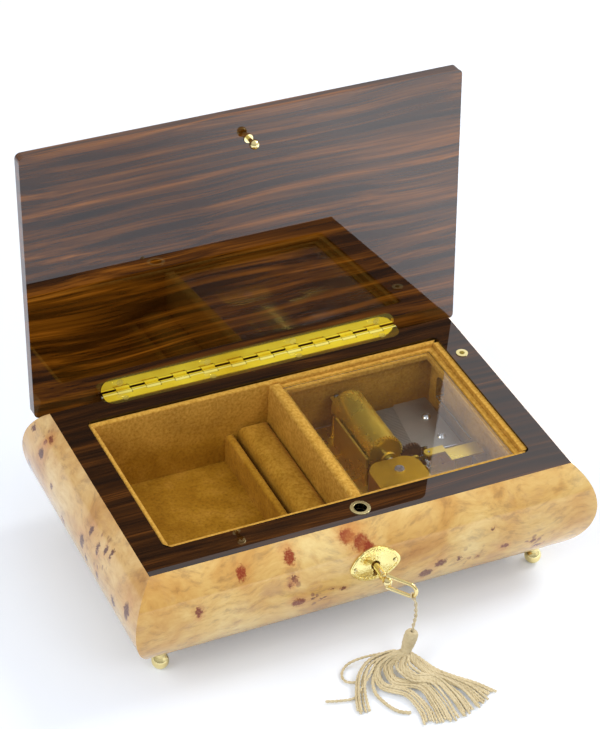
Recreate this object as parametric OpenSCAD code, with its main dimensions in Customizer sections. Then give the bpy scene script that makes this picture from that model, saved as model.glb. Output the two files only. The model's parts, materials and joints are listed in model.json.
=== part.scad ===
// Wind-up music box: a bombe jewellery case with a hinged lid, a lock with key,
// a ring roll, and a thirty-note cylinder movement under a clear pane.
// Millimetres. X runs along the front, Y to the back, Z up. The model is drawn
// from the back edge of the rim's top face and then stood on its feet.

/* [Case] */
// Width of the dark rim
rim_w = 220; // [180:1:280]
// Depth of the dark rim
rim_d = 130; // [118:1:180]
// Height from the case's lower edge to the rim's top
case_h = 55; // [52:0.5:75]
// How far the sides swell out past the rim
bulge = 11; // [6:0.5:14]
// Depth of the widest line below the rim's top
bulge_at = 24; // [20:0.5:30]
// How far the lower edge tucks in under the rim
tuck = 5; // [2:0.5:6]
// Thickness of the rim board
rim_t = 3; // [2.5:0.1:4]
// Width of the rim at the two ends
band_side = 14; // [13:0.5:18]
// Width of the rim along the front
band_front = 15.5; // [15:0.5:20]
// Width of the rim along the back
band_back = 13; // [11:0.5:18]
// Thickness of the bottom board
bottom_t = 4; // [3:0.5:5]
// Diameter of a ball foot
foot_d = 8.5; // [7:0.5:10]
// Clear height under the case's lower edge
foot_h = 12.3; // [11.5:0.1:16]

/* [Lining] */
// Thickness of a covered lining board
lining_t = 3; // [2:0.5:4]
// Drop from the rim's top to the lining's edge
lining_drop = 1; // [0.5:0.1:2]
// Depth of the open compartment below the rim's top
well_depth = 44; // [38:0.5:44]
// Middle of the divider, from the middle of the case
divider_x = 3.5; // [-2:0.5:8]
// Thickness of the divider
divider_t = 6; // [4:0.5:8]
// Width of the padded ring rest
pad_w = 16; // [12:0.5:20]
// Depth of the ring rest below the rim's top
pad_depth = 22; // [18:0.5:28]
// Gap that holds the rings
ring_gap = 3; // [2:0.5:3.5]
// Width of the bar before the ring gap
bar_w = 4; // [3:0.5:6]
// Depth of the bar below the rim's top
bar_depth = 27; // [22:0.5:32]
// Thickness of the clear pane
pane_t = 2; // [1.5:0.1:3]
// Depth of the pane's top below the rim's top
pane_depth = 4; // [3:0.5:5]

/* [Lid] */
// Thickness of the lid
lid_t = 6; // [5:0.5:8]
// Overhang of the lid at the front and the ends
lid_over = 6; // [4:0.5:8]
// Overhang of the lid at the back
lid_back = 8; // [7:0.1:8.2]
// Gap between the closed lid and the rim
lid_gap = 0.6; // [0.6:0.1:0.9]
// Angle at which the lid stands open
lid_open = 95; // [90:0.5:95]
// Length of the piano hinge
hinge_l = 162; // [120:1:170]
// Number of knuckles, odd
knuckles = 21; // [11:2:25]
// Outer radius of a knuckle
knuckle_r = 2; // [1.8:0.1:2.1]
// Radius of the hinge pin
hinge_pin_r = 1; // [0.8:0.05:1.1]
// Thickness of a hinge leaf
leaf_t = 0.9; // [0.7:0.05:1]
// Reach of a leaf from the pin
leaf_w = 8.7; // [8:0.1:10]
// How far the pin stands behind the rim
pin_back = 3.9; // [3.6:0.1:4]

/* [Lock] */
// Depth of the keyhole below the rim's top
keyhole_z = 20; // [18:0.5:23]
// Length of the escutcheon
plate_l = 27; // [22:0.5:32]
// Height of the escutcheon
plate_h = 18; // [15:0.5:20]
// Radius of the key's stem
stem_r = 1.6; // [1.3:0.1:1.8]
// Length of the stem in front of the escutcheon
stem_out = 12; // [8:0.5:16]
// Length of the key's bow
bow_l = 16; // [12:0.5:20]
// Height of the key's bow
bow_h = 9; // [8.6:0.1:12]
// Angle at which the bow stands to the stem
bow_turn = 37; // [20:1:50]
// Outer radius of the catch ring
ring_r = 5; // [4.4:0.1:5.5]
// Bore radius of the catch ring
ring_bore_r = 3.2; // [3:0.1:3.6]
// Travel of the lock bolt
bolt_travel = 4.5; // [4:0.1:5]

/* [Movement] */
// Cylinder axis, from the middle of the case
cyl_x = 41.3; // [40:0.1:42]
// Cylinder axis below the rim's top
cyl_z = 21.5; // [21:0.1:22]
// Radius of the cylinder
cyl_r = 9.2; // [8.6:0.1:9.2]
// Length of the cylinder
cyl_l = 41; // [38:0.5:41]
// Number of comb teeth
notes = 30; // [18:1:30]
// Height of a pin on the cylinder
tune_pin_h = 0.4; // [0.3:0.05:0.5]
// Half width of the spring cover
cover_half = 13.8; // [13.6:0.1:14]
// Radius of the spring drum
drum_r = 9.2; // [8:0.1:9.3]
// Depth of the bedplate's top below the rim's top
bed_depth = 37; // [36.5:0.5:37]

/* [Stop pin] */
// Travel of the stop pin
stop_travel = 1.5; // [1:0.1:2]
// Radius of the stop pin
stop_r = 1.3; // [1:0.1:1.6]

/* [Tassel] */
// Radius of the tassel cord
cord_r = 0.9; // [0.7:0.05:1.1]
// Radius of the tassel's bound head
head_r = 4; // [3:0.1:5]

/* [Hidden] */

eps = 0.01;
fine = 96;
round_fn = 48;
run = 0.05;                                   // radial running clearance of a shaft
brass = [0.84, 0.66, 0.27];
steel = [0.62, 0.62, 0.64];
burl = [0.86, 0.70, 0.45];
rosewood = [0.20, 0.10, 0.06];
suede = [0.74, 0.53, 0.27];
cream = [0.86, 0.80, 0.66];

// case, worked out
x_end = rim_w / 2;
y_front = -rim_d;
upper_r = (bulge * bulge + bulge_at * bulge_at) / (2 * bulge);
lower_in = bulge + tuck;
lower_drop = case_h - bulge_at;
lower_r = (lower_in * lower_in + lower_drop * lower_drop) / (2 * lower_in);
board_rebate = 2.5;
board_up = 1;
floor_z = -case_h + board_up + bottom_t;      // top of the bottom board
stand = case_h + foot_h;                      // rim's top above the table
foot_inset = 9.5;
foot_collar_r = 2.6;
foot_screw_r = 1.2;
foot_screw_l = 9;

// lining, worked out
in_x = x_end - band_side;                     // inner wall of the case ends
in_back = -band_back;
in_front = y_front + band_front;
well_x = in_x - lining_t;                     // inner faces of the lining
well_back = in_back - lining_t;
well_front = in_front + lining_t;
div_l = divider_x - divider_t / 2;
div_r = divider_x + divider_t / 2;
pane_edge = 3;                                // strip between lining and pane
ledge = 2;                                    // how far the pane lies on its ledge
pane_gap = 0.2;

// hinge and lid, worked out
leaf_gap = 0.1;
leaf_proud = lid_gap - leaf_gap;              // lid leaf stands this far out of the lid
axis_y = pin_back;
knuckle_rise = 0.5;                           // knuckles stand this far above the rim
axis_z = knuckle_rise - knuckle_r;
knuckle_pitch = hinge_l / knuckles;
knuckle_gap = 0.25;
knuckle_clear = 0.35;
notch_side = knuckle_gap / 2 + 0.06;          // a leaf's tabs are a little narrower than its knuckles
leaf_corner = 5.5;
hinge_screw_x = [-0.4375, -0.146, 0.146, 0.4375];
hinge_screw_in = 5.5;                         // screw line from the pin
hinge_screw_r = 0.9;
hinge_head_r = hinge_screw_r + leaf_t - 0.02;  // the countersink ends inside the leaf
hinge_screw_l = 5;
lid_corner = 3;

// lock, worked out
lock_y = y_front + 7.8;                       // middle of the catch ring
lock_half = 14;
lock_wall = 1;
lock_back = y_front + 3;
lock_low = -keyhole_z - 13;
ring_proud = 0.4;                             // flanges on the rim stay under the lid
tube_t = 0.6;                                 // wall of the tubes let into the rim
keeper_neck_r = 1.1;
keeper_head_r = 2.5;
keeper_l = 7.4;                               // lid's face to the middle of the head
keeper_cap = 1.6;                             // flat of the head above its middle
keeper_root = 3.5;                            // length of the neck inside the lid
bolt_t = 1.2;
bolt_top = lid_gap - keeper_l + keeper_cap + 0.4 + bolt_t;
bolt_tip = -keeper_head_r - 0.6;
fork_w = 2.9;
fork_deep = bolt_travel + 0.5;
fork_half = 3;                                // half width of the bolt across its prongs
bolt_start = -lock_half + lock_wall + 0.3;
bit_l = 4.6;
bit_t = 1.2;
bit_w = 1.8;
plate_t = 1;
plate_front = y_front - bulge;                // the widest line, under the escutcheon
pin_hole_r = 0.5;
key_ball_r = 2.4;
rivet_r = 0.7;
hole_r = 2.4;
slot_w = 2.2;
slot_l = 6.5;
collar_y = plate_front - plate_t - stem_out;
wire_r = 0.95;

// movement, worked out
bed_t = 1.8;
bed_top = -bed_depth;
bed_left = 22;
bed_right = 87;
bed_back = well_back - 3.4;
bed_front = well_front + 2.4;
arbor_r = 1.2;
train_r = 0.8;
bearing_t = 1.2;
end_play = 0.1;
cyl_back = well_back - 8.2;
cyl_front = cyl_back - cyl_l;
gear_module = 0.52;
cyl_teeth = 36;
wheel_teeth = 24;
gear_t = 2.4;
mesh_gap = 0.25;
cyl_gear_r = gear_module * cyl_teeth / 2;
wheel_r = gear_module * wheel_teeth / 2;
wheel_fall = 20;                              // train wheel lies this many degrees low
mesh_d = cyl_gear_r + wheel_r + mesh_gap;
wheel_x = cyl_x + mesh_d * cos(wheel_fall);
wheel_z = -cyl_z - mesh_d * sin(wheel_fall);
gear_y = cyl_front - gear_t;                  // front face of the gears
bridge_t = 1.5;
bridge_y = gear_y - 3.6;                      // back face of the front bridge
worm_teeth = 20;
worm_wheel_r = 3.3;
worm_up = 0.25;
worm_r = 1.65;
worm_core_r = 0.9;
worm_swing = 0.35;                            // half the depth of the thread
worm_sink = 0.22;                             // depth of the thread between the wheel's teeth
worm_pitch = 2 * PI * worm_wheel_r / worm_teeth;
worm_x = wheel_x + worm_wheel_r + worm_up + worm_r - worm_sink;
worm_y = bridge_y - bridge_t - 3.5;
worm_turns = 4;
vane_r = 5;
vane_t = 0.5;
vane_low = wheel_z + worm_wheel_r + worm_up + 0.4;
vane_h = 2.1;
governor_top = -19.6;
governor_t = 1;
governor_back_y = worm_y - 3.2;               // wall that carries the far end of the train arbor
crown_teeth = 36;
crown_pinion = 12;
pinion_r = 3.6;
crown_r = pinion_r * crown_teeth / crown_pinion;
crown_w = 2.2;
crown_h = 0.9;
crown_mesh = 0.45;                            // depth of the crown's teeth in the pinion
drum_x = 38;
cover_t = 1;
cover_corner = 8;
cover_top = -15.9;
cover_in = cover_half - cover_t;
pinion_t = 1.2;
drum_y = bridge_y - bridge_t - 5.2 - cover_half;
pinion_y = drum_y + sqrt(crown_r * crown_r - pow(cyl_x - drum_x, 2)) + pinion_t / 2;
crown_tip = -cyl_z - pinion_r - 0.35 + crown_mesh;
crown_face = crown_tip - crown_h;
drum_wall = 0.8;
drum_low = bed_top + 0.4;
drum_top = cover_top - cover_t - 0.6;
drum_flange_r = crown_r + crown_w / 2 + 0.1;
drum_flange_t = 1.2;
winder_r = 1.5;
winder_low = -case_h - 4;
wing_z = -stand + 5.8;
wing_r = 3.9;
wing_t = 2.2;
hub_r = 2.6;
spring_turns = 6;
spring_t = 0.35;
cover_window = 10;                            // opening in the cover's wall for the pinion
comb_top = -26;
comb_t = 1.5;
comb_pitch = 1.17;
comb_front = cyl_front + 0.9;
comb_back = comb_front + comb_pitch * notes;
comb_margin = 4;                              // plate beyond the teeth at the front
comb_drop = -cyl_z - comb_top;
tip_clear = 0.2;
tip_x = cyl_x + sqrt(pow(cyl_r + tune_pin_h + tip_clear, 2) - pow(comb_drop, 2));
comb_end = 84;
comb_seat = 68;
comb_root = [60, 65];                         // roots of the shortest and the longest tooth
comb_slot = 0.35;
comb_screw_x = 77;
comb_screw_y = [comb_front + 4, comb_front + 21];
comb_screw_r = 1.2;
side_x = cyl_x - cyl_r - tune_pin_h - 1.8;
side_t = 1.2;
bracket_y = cyl_back + 0.6;
bracket_tab = -17.5;
bearing_screw_x = 36.6;
bed_screws = [[bed_left + 4, bed_back - 8], [bed_right - 4, bed_back - 4],
              [bed_right - 4, bed_front + 5], [drum_x + 24, bed_front + 5]];
bed_screw_r = 1.2;

// stop pin, worked out
stop_x = x_end - 8;
stop_y = -30.7;
stop_eye_r = 3.1;
stop_hole_y = -27.3;
stop_hole_z = -26;
stop_hole_w = 9;
stop_hole_h = 17;
stop_low = -27;
stop_head_z = -9;
stop_wire_r = 0.5;
stop_wire_up = 1.6;
stop_proud = 0.5;
stop_sink = 2 * stop_travel;                   // depth of the bore below the pin

// tassel: the cord hangs from the bow's far end down to the bound head
cord_points = [[9.2, -165.6, -24.6], [9.4, -165.8, -28], [9.8, -165.7, -32], [10.2, -165.2, -36],
               [10.2, -164.5, -40], [10, -164, -43.5], [10, -164, -46.5]];
head_top = cord_points[len(cord_points) - 1];
head_h = 12;
skirt_top = head_top - [0, 0, head_h];

// stand the model on its feet, with the origin under the middle of its outline
lid_rise = rim_d + lid_over + pin_back;
rear = axis_y + lid_rise * sin(lid_open - 90) + (lid_gap - axis_z + lid_t) * cos(lid_open - 90);
nose = collar_y - (bow_l - wire_r) * cos(bow_turn) - wire_r;
mid_y = (rear + nose) / 2;
module placed() translate([0, -mid_y, stand]) children();
module opened() placed() translate([0, axis_y, axis_z]) rotate([-lid_open, 0, 0])
  translate([0, -axis_y, -axis_z]) children();

// ---- shared forms ----
module box(a, b) translate(a) cube(b - a);
module along_y(at, l, r) translate(at) rotate([90, 0, 0]) cylinder(r = r, h = l, $fn = round_fn);
module along_x(at, l, r) translate(at) rotate([0, 90, 0]) cylinder(r = r, h = l, $fn = round_fn);
module post(at, l, r) translate(at) cylinder(r = r, h = l, $fn = round_fn);

// a countersunk screw, point up, its head's face at z = 0
module screw_up(r, head_r, l) {
  sink = head_r - r;
  cylinder(r1 = head_r, r2 = r, h = sink, $fn = round_fn);
  cylinder(r = r, h = l, $fn = round_fn);
}

// a gear blank with straight-sided teeth, centred on its arbor
module gear_2d(teeth, pitch_r, up, down, share = 0.44) {
  step = 360 / teeth;
  difference() {
    circle(r = pitch_r + up, $fn = fine);
    for (i = [0 : teeth - 1]) rotate((i + 0.5) * step) polygon([
      [pitch_r - down, -pitch_r * sin(step * (1 - share) * 0.32)],
      [pitch_r - down, pitch_r * sin(step * (1 - share) * 0.32)],
      [pitch_r + 2 * up, pitch_r * sin(step * (1 - share) * 0.74)],
      [pitch_r + 2 * up, -pitch_r * sin(step * (1 - share) * 0.74)]]);
  }
}

// ---- case ----
// section of a side: true arcs above and below the widest line, u outwards, v up
module side_2d(wall) difference() {
  union() {
    intersection() {
      translate([bulge - upper_r, -bulge_at]) circle(r = upper_r, $fn = 2 * fine);
      translate([-wall, -bulge_at]) square([wall + bulge + 1, bulge_at]);
    }
    intersection() {
      translate([bulge - lower_r, -bulge_at]) circle(r = lower_r, $fn = 2 * fine);
      translate([-wall, -case_h]) square([wall + bulge + 1, lower_drop + eps]);
    }
  }
  translate([-wall - eps, -rim_t]) square([wall + eps, rim_t + eps]);
  translate([-wall - eps, -case_h + board_up]) square([board_rebate + eps, bottom_t]);
}

// one mitred side, running along X with the rim's edge on y = 0 and its face to -Y
module side(half, wall) intersection() {
  translate([-half - bulge, 0, 0]) rotate([90, 0, 90]) linear_extrude(2 * (half + bulge))
    mirror([1, 0]) side_2d(wall);
  translate([0, 0, -case_h - 1]) linear_extrude(case_h + 2) polygon([
    [-half - bulge - 1, -bulge - 1], [half + bulge + 1, -bulge - 1],
    [half - wall, wall], [-half + wall, wall]]);
}

module keyhole_2d(r, w, l) {
  circle(r = r, $fn = round_fn);
  translate([-w / 2, -l]) square([w, l]);
}

module case_front() color(burl) placed() difference() {
  translate([0, y_front, 0]) side(x_end, band_front);
  box([-lock_half, lock_back, lock_low], [lock_half, in_front + 1, -rim_t + 1]);
  translate([0, lock_back + 1, -keyhole_z]) rotate([90, 0, 0]) linear_extrude(bulge + 12)
    keyhole_2d(hole_r, slot_w, slot_l);
  translate([0, plate_front, -keyhole_z]) rotate([90, 0, 0]) plate_pin_holes();
  foot_screw_holes();
}

module hinge_channel() {
  along_x([-hinge_l / 2 - 1, axis_y, axis_z], hinge_l + 2, knuckle_r + knuckle_clear);
  box([-hinge_l / 2 - 1, -eps, -leaf_t], [hinge_l / 2 + 1, axis_y, 1]);
}

module case_back() color(burl) placed() difference() {
  rotate(180) side(x_end, band_back);
  hinge_channel();
  base_screw_holes();
  foot_screw_holes();
}

module case_left() color(burl) placed() difference() {
  translate([-x_end, y_front / 2, 0]) rotate(-90) side(rim_d / 2, band_side);
  foot_screw_holes();
}

module case_right() color(burl) placed() difference() {
  translate([x_end, y_front / 2, 0]) rotate(90) side(rim_d / 2, band_side);
  post([stop_x, stop_y, stop_low - stop_sink], 40, stop_r + 0.9);
  stop_window(in_x - 1, stop_x + stop_r + 0.9);
  foot_screw_holes();
}

module stop_window(from, to) translate([from, stop_hole_y, stop_hole_z]) rotate([90, 0, 90])
  linear_extrude(to - from) {
    for (s = [-1, 1]) translate([0, s * (stop_hole_h - stop_hole_w) / 2])
      circle(d = stop_hole_w, $fn = round_fn);
    square([stop_hole_w, stop_hole_h - stop_hole_w], center = true);
  }

module leaf_2d() {
  l = hinge_l;
  far = leaf_w - leaf_corner;
  translate([-l / 2, -far]) square([l, far]);
  translate([-l / 2 + leaf_corner, -leaf_w]) square([l - 2 * leaf_corner, leaf_w]);
  intersection() {
    for (s = [-1, 1]) translate([s * (l / 2 - leaf_corner), -far]) circle(r = leaf_corner, $fn = round_fn);
    translate([-l / 2, -leaf_w]) square([l, leaf_w]);
  }
}

module base_screw_holes() for (x = hinge_screw_x)
  translate([x * hinge_l, axis_y - hinge_screw_in, -hinge_screw_l - 4])
    cylinder(r = hinge_screw_r, h = hinge_screw_l + 6, $fn = round_fn);

module top_rim() color(rosewood) placed() difference() {
  box([-x_end, y_front, -rim_t], [x_end, 0, 0]);
  box([-in_x, in_front, -rim_t - 1], [in_x, in_back, 1]);
  translate([0, axis_y, -leaf_t]) linear_extrude(2) leaf_2d();
  base_screw_holes();
  post([0, lock_y, -rim_t - 1], rim_t + 2, ring_bore_r + tube_t);
  post([stop_x, stop_y, -rim_t - 1], rim_t + 2, stop_r + run + tube_t);
}

module bottom_board() color([0.55, 0.40, 0.24]) placed() difference() {
  box([-in_x - board_rebate, in_front - board_rebate, floor_z - bottom_t],
      [in_x + board_rebate, in_back + board_rebate, floor_z]);
  post([drum_x, drum_y, -case_h - 1], 20, winder_r + 1.5);
  movement_screw_holes();
}

function foot_at(sx, sy) = [sx * (x_end - foot_inset), y_front / 2 + sy * (rim_d / 2 - foot_inset), 0];

module feet_spots() for (sx = [-1, 1], sy = [-1, 1]) translate(foot_at(sx, sy)) children();
module foot_screw_holes() feet_spots() post([0, 0, -case_h - 1], foot_screw_l + 1, foot_screw_r);

module ball_feet() color(brass) placed() feet_spots() translate([0, 0, -stand]) difference() {
  union() {
    difference() {
      translate([0, 0, foot_d / 2 - 0.25]) sphere(d = foot_d, $fn = fine);
      translate([0, 0, -foot_d]) cube(2 * foot_d, center = true);
    }
    translate([0, 0, foot_d - 1]) cylinder(r = foot_collar_r, h = foot_h - foot_d + 1, $fn = round_fn);
    translate([0, 0, foot_h - 1.4])
      cylinder(r1 = foot_collar_r, r2 = foot_collar_r + 1, h = 1.4, $fn = round_fn);
  }
  post([0, 0, foot_h / 2], foot_h, foot_screw_r);
}

module foot_screws() color(steel) placed() feet_spots()
  post([0, 0, -case_h - foot_h / 2], foot_h / 2 + foot_screw_l - 0.5, foot_screw_r);

// ---- lining ----
module lining_front() color(suede) placed()
  box([-in_x, in_front, floor_z], [in_x, well_front, -lining_drop]);
module lining_back() color(suede) placed()
  box([-in_x, well_back, floor_z], [in_x, in_back, -lining_drop]);
module lining_left() color(suede) placed()
  box([-in_x, well_front, floor_z], [-well_x, well_back, -lining_drop]);
module lining_right() color(suede) placed() difference() {
  box([well_x, well_front, floor_z], [in_x, well_back, -lining_drop]);
  stop_window(well_x - 1, in_x + 1);
}
module well_floor() color(suede) placed()
  box([-well_x, well_front, floor_z], [div_l, well_back, -well_depth]);
module movement_board() color([0.55, 0.40, 0.24]) placed() difference() {
  box([div_r, well_front, floor_z], [well_x, well_back, bed_top - bed_t]);
  post([drum_x, drum_y, floor_z - 1], 20, winder_r + 1.5);
  movement_screw_holes();
}
module divider() color(suede) placed()
  box([div_l, well_front, floor_z], [div_r, well_back, -lining_drop - 0.5]);
module ring_pad() color(suede) placed()
  box([div_l - pad_w, well_front, -well_depth], [div_l, well_back, -pad_depth]);
module ring_bar() color(suede) placed()
  box([div_l - pad_w - ring_gap - bar_w, well_front, -well_depth],
      [div_l - pad_w - ring_gap, well_back, -bar_depth]);
module pane_frame() color(suede) placed() difference() {
  box([div_r, well_front, -pane_depth - pane_t - 3], [well_x, well_back, -pane_depth + 0.6]);
  box([div_r - 1, well_front + pane_edge - 1, -pane_depth - pane_t],
      [well_x - pane_edge, well_back - pane_edge + 1, 1]);
  box([div_r + ledge, well_front + pane_edge + ledge - 1, -60],
      [well_x - pane_edge - ledge, well_back - pane_edge - ledge + 1, 1]);
}
module clear_pane() color([0.8, 0.9, 0.95, 0.4]) placed()
  box([div_r + pane_gap, well_front + pane_edge - 1 + pane_gap, -pane_depth - pane_t],
      [well_x - pane_edge - pane_gap, well_back - pane_edge + 1 - pane_gap, -pane_depth]);

// ---- hinge and lid ----
// leaves are drawn as they lie with the lid shut; base knuckles are even, lid knuckles odd
module knuckle_row(parity, r, grow) for (i = [parity : 2 : knuckles - 1])
  along_x([-hinge_l / 2 + i * knuckle_pitch + knuckle_gap / 2 - grow, axis_y, axis_z],
          knuckle_pitch - knuckle_gap + 2 * grow, r);
module notch_row(parity, lo, hi) for (i = [parity : 2 : knuckles - 1])
  box([-hinge_l / 2 + i * knuckle_pitch - notch_side, axis_y - knuckle_r - knuckle_clear, lo],
      [-hinge_l / 2 + (i + 1) * knuckle_pitch + notch_side, axis_y + 5, hi]);
module leaf_screw_cuts(z, up) for (x = hinge_screw_x)
  translate([x * hinge_l, axis_y - hinge_screw_in, z]) mirror([0, 0, up ? 0 : 1])
    screw_up(hinge_screw_r, hinge_head_r, 4);

module hinge_base_leaf() color(brass) placed() difference() {
  union() {
    difference() {
      translate([0, axis_y, -leaf_t]) linear_extrude(leaf_t) leaf_2d();
      notch_row(1, -3, 3);
    }
    knuckle_row(0, knuckle_r, 0);
  }
  along_x([-hinge_l, axis_y, axis_z], 2 * hinge_l, hinge_pin_r + run);
  leaf_screw_cuts(0, false);
}

module hinge_lid_leaf() color(brass) opened() difference() {
  union() {
    difference() {
      translate([0, axis_y, leaf_gap]) linear_extrude(leaf_t) union() {
        leaf_2d();
        translate([-hinge_l / 2, 0]) square([hinge_l, 0.9]);
      }
      notch_row(0, -3, 3);
    }
    knuckle_row(1, knuckle_r, 0);
  }
  along_x([-hinge_l, axis_y, axis_z], 2 * hinge_l, hinge_pin_r + run);
  leaf_screw_cuts(leaf_gap, true);
}

module hinge_pin() color(steel) placed()
  along_x([-hinge_l / 2 - 0.6, axis_y, axis_z], hinge_l + 1.2, hinge_pin_r);

module hinge_base_screws() color(brass) placed() for (x = hinge_screw_x)
  translate([x * hinge_l, axis_y - hinge_screw_in, 0]) mirror([0, 0, 1])
    screw_up(hinge_screw_r, hinge_head_r, hinge_screw_l + 3);
module hinge_lid_screws() color(brass) opened() for (x = hinge_screw_x)
  translate([x * hinge_l, axis_y - hinge_screw_in, leaf_gap])
    screw_up(hinge_screw_r, hinge_head_r, hinge_screw_l);

module lid_2d() {
  w = rim_w + 2 * lid_over;
  d = rim_d + lid_over + lid_back;
  translate([-w / 2, y_front - lid_over]) {
    translate([lid_corner, 0]) square([w - 2 * lid_corner, d]);
    translate([0, lid_corner]) square([w, d - 2 * lid_corner]);
    for (x = [lid_corner, w - lid_corner], y = [lid_corner, d - lid_corner]) translate([x, y])
      circle(r = lid_corner, $fn = round_fn);
  }
}

module lid() color(rosewood) opened() difference() {
  translate([0, 0, lid_gap]) linear_extrude(lid_t) lid_2d();
  translate([0, axis_y, lid_gap - 1]) linear_extrude(1 + leaf_t - leaf_proud) leaf_2d();
  box([-hinge_l / 2, axis_y - eps, lid_gap - 1],
      [hinge_l / 2, axis_y + knuckle_r + knuckle_clear, leaf_gap + leaf_t]);
  for (x = hinge_screw_x) translate([x * hinge_l, axis_y - hinge_screw_in, 0])
    cylinder(r = hinge_screw_r, h = leaf_gap + hinge_screw_l, $fn = round_fn);
  post([0, lock_y, lid_gap - 1], 1 + 3.5, keeper_neck_r);
}

module keeper_post() color(brass) opened() translate([0, lock_y, lid_gap]) mirror([0, 0, 1])
  rotate_extrude($fn = round_fn) {
    square([2.3, 0.8]);
    translate([0, -keeper_root]) square([keeper_neck_r, keeper_root + keeper_l]);
    intersection() {
      translate([0, keeper_l]) circle(r = keeper_head_r, $fn = round_fn);
      translate([0, keeper_l - keeper_cap]) square([keeper_head_r, keeper_cap + keeper_head_r]);
    }
  }

// ---- lock ----
module catch_ring() color(brass) placed() translate([0, lock_y, 0]) rotate_extrude($fn = fine) {
  translate([ring_bore_r, 0]) square([ring_r - ring_bore_r, ring_proud]);
  translate([ring_bore_r, -rim_t]) square([tube_t, rim_t + ring_proud]);
}

module lock_case() color(steel) placed() difference() {
  box([-lock_half, lock_back, lock_low], [lock_half, in_front, -rim_t]);
  box([-lock_half + lock_wall, lock_back + lock_wall, lock_low + lock_wall],
      [lock_half - lock_wall, in_front - lock_wall, -rim_t - 0.5]);
  post([0, lock_y, -rim_t - 2], 4, ring_bore_r);
  translate([0, lock_back + 2, -keyhole_z]) rotate([90, 0, 0]) linear_extrude(4)
    keyhole_2d(hole_r, slot_w, slot_l);
  along_y([0, in_front + 1, -keyhole_z], 3, stem_r * 0.5 + run);
}

module lock_bolt() color(brass) placed() {
  low = bolt_top - bolt_t;
  difference() {
    box([bolt_start, lock_y - fork_half, low], [bolt_tip, lock_y + fork_half, bolt_top]);
    box([bolt_tip - fork_deep, lock_y - fork_w / 2, low - 1], [1, lock_y + fork_w / 2, 1]);
  }
  box([bolt_start, lock_y - fork_half, -keyhole_z - 5],
      [bolt_tip - fork_deep, lock_y - bit_w / 2 - 0.5, low + eps]);
}

// oval of four arcs
module oval_2d(l, h) {
  r = (l * l + h * h) / (4 * h);
  intersection() {
    translate([0, r - h / 2]) circle(r = r, $fn = 2 * fine);
    translate([0, h / 2 - r]) circle(r = r, $fn = 2 * fine);
    circle(d = l * 0.965, $fn = fine);
  }
}
module plate_2d() oval_2d(plate_l, plate_h);

plate_pins = [[-plate_l * 0.38, 0], [plate_l * 0.38, 0]];
module plate_pin_holes() for (p = plate_pins) translate([p[0], p[1], -6])
  cylinder(r = pin_hole_r, h = 12, $fn = round_fn);

// a skin of the side's own section, from one height above it to another
module skin(low, high) translate([-x_end, y_front, 0]) rotate([90, 0, 90]) linear_extrude(rim_w)
  mirror([1, 0]) difference() {
    face_2d(high);
    face_2d(low);
  }
module face_2d(grow) {
  intersection() {
    translate([bulge - upper_r, -bulge_at]) circle(r = upper_r + grow, $fn = 2 * fine);
    translate([0, -bulge_at]) square([bulge + 5, bulge_at]);
  }
  intersection() {
    translate([bulge - lower_r, -bulge_at]) circle(r = lower_r + grow, $fn = 2 * fine);
    translate([0, -case_h]) square([bulge + 5, lower_drop]);
  }
}
// the plate is pressed to the curve of the front, with a raised edge
module escutcheon() color(brass) placed() difference() {
  union() {
    intersection() {
      skin(0, plate_t * 0.7);
      translate([0, y_front, -keyhole_z]) rotate([90, 0, 0]) linear_extrude(30) plate_2d();
    }
    intersection() {
      skin(0, plate_t);
      translate([0, y_front, -keyhole_z]) rotate([90, 0, 0]) linear_extrude(30) difference() {
        oval_2d(plate_l - 1.2, plate_h - 1.2);
        oval_2d(plate_l - 3, plate_h - 3);
      }
    }
  }
  translate([0, y_front, -keyhole_z]) rotate([90, 0, 0]) linear_extrude(30)
    keyhole_2d(hole_r, slot_w, slot_l);
  translate([0, plate_front, -keyhole_z]) rotate([90, 0, 0]) plate_pin_holes();
}

module escutcheon_pins() color(brass) placed() translate([0, plate_front, -keyhole_z])
  rotate([90, 0, 0]) for (p = plate_pins) translate([p[0], p[1], 0]) {
    translate([0, 0, -5]) cylinder(r = pin_hole_r, h = 5 + plate_t, $fn = round_fn);
    translate([0, 0, plate_t * 0.7 + 0.02]) cylinder(r1 = 1.1, r2 = 0.7, h = 0.5, $fn = round_fn);
  }

module key_stem() color(brass) placed() difference() {
  shoulder = in_front - lock_wall - 0.4;
  union() {
    along_y([0, shoulder, -keyhole_z], shoulder - collar_y, stem_r);
    along_y([0, in_front - 0.3, -keyhole_z], in_front - 0.3 - shoulder + 1, stem_r / 2);
    along_y([0, collar_y + 4.6, -keyhole_z], 1, stem_r + 0.7);
    translate([0, collar_y, -keyhole_z]) sphere(r = key_ball_r, $fn = round_fn);
    box([-bit_t / 2, lock_y - bit_w / 2, -keyhole_z - bit_l], [bit_t / 2, lock_y + bit_w / 2, -keyhole_z]);
  }
  post([0, collar_y, -keyhole_z - 5], 10, rivet_r + run);
}

// the bow is a bent wire on a rivet through the stem's ball, so it folds to either side
module key_bow() color(brass) placed() translate([0, collar_y, -keyhole_z]) rotate(bow_turn) {
  half = bow_h / 2 - wire_r;
  far = bow_l - bow_h / 2;
  for (s = [-1, 1]) {
    along_y([0, 0, s * half], far, wire_r);
    translate([0, 0, s * half]) sphere(r = wire_r, $fn = round_fn);
  }
  translate([0, -far, 0]) rotate([0, 90, 0]) rotate([0, 0, 180]) rotate_extrude(angle = 180, $fn = fine)
    translate([half, 0]) circle(r = wire_r, $fn = 24);
  post([0, 0, -half], 2 * half, rivet_r);
}

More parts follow.
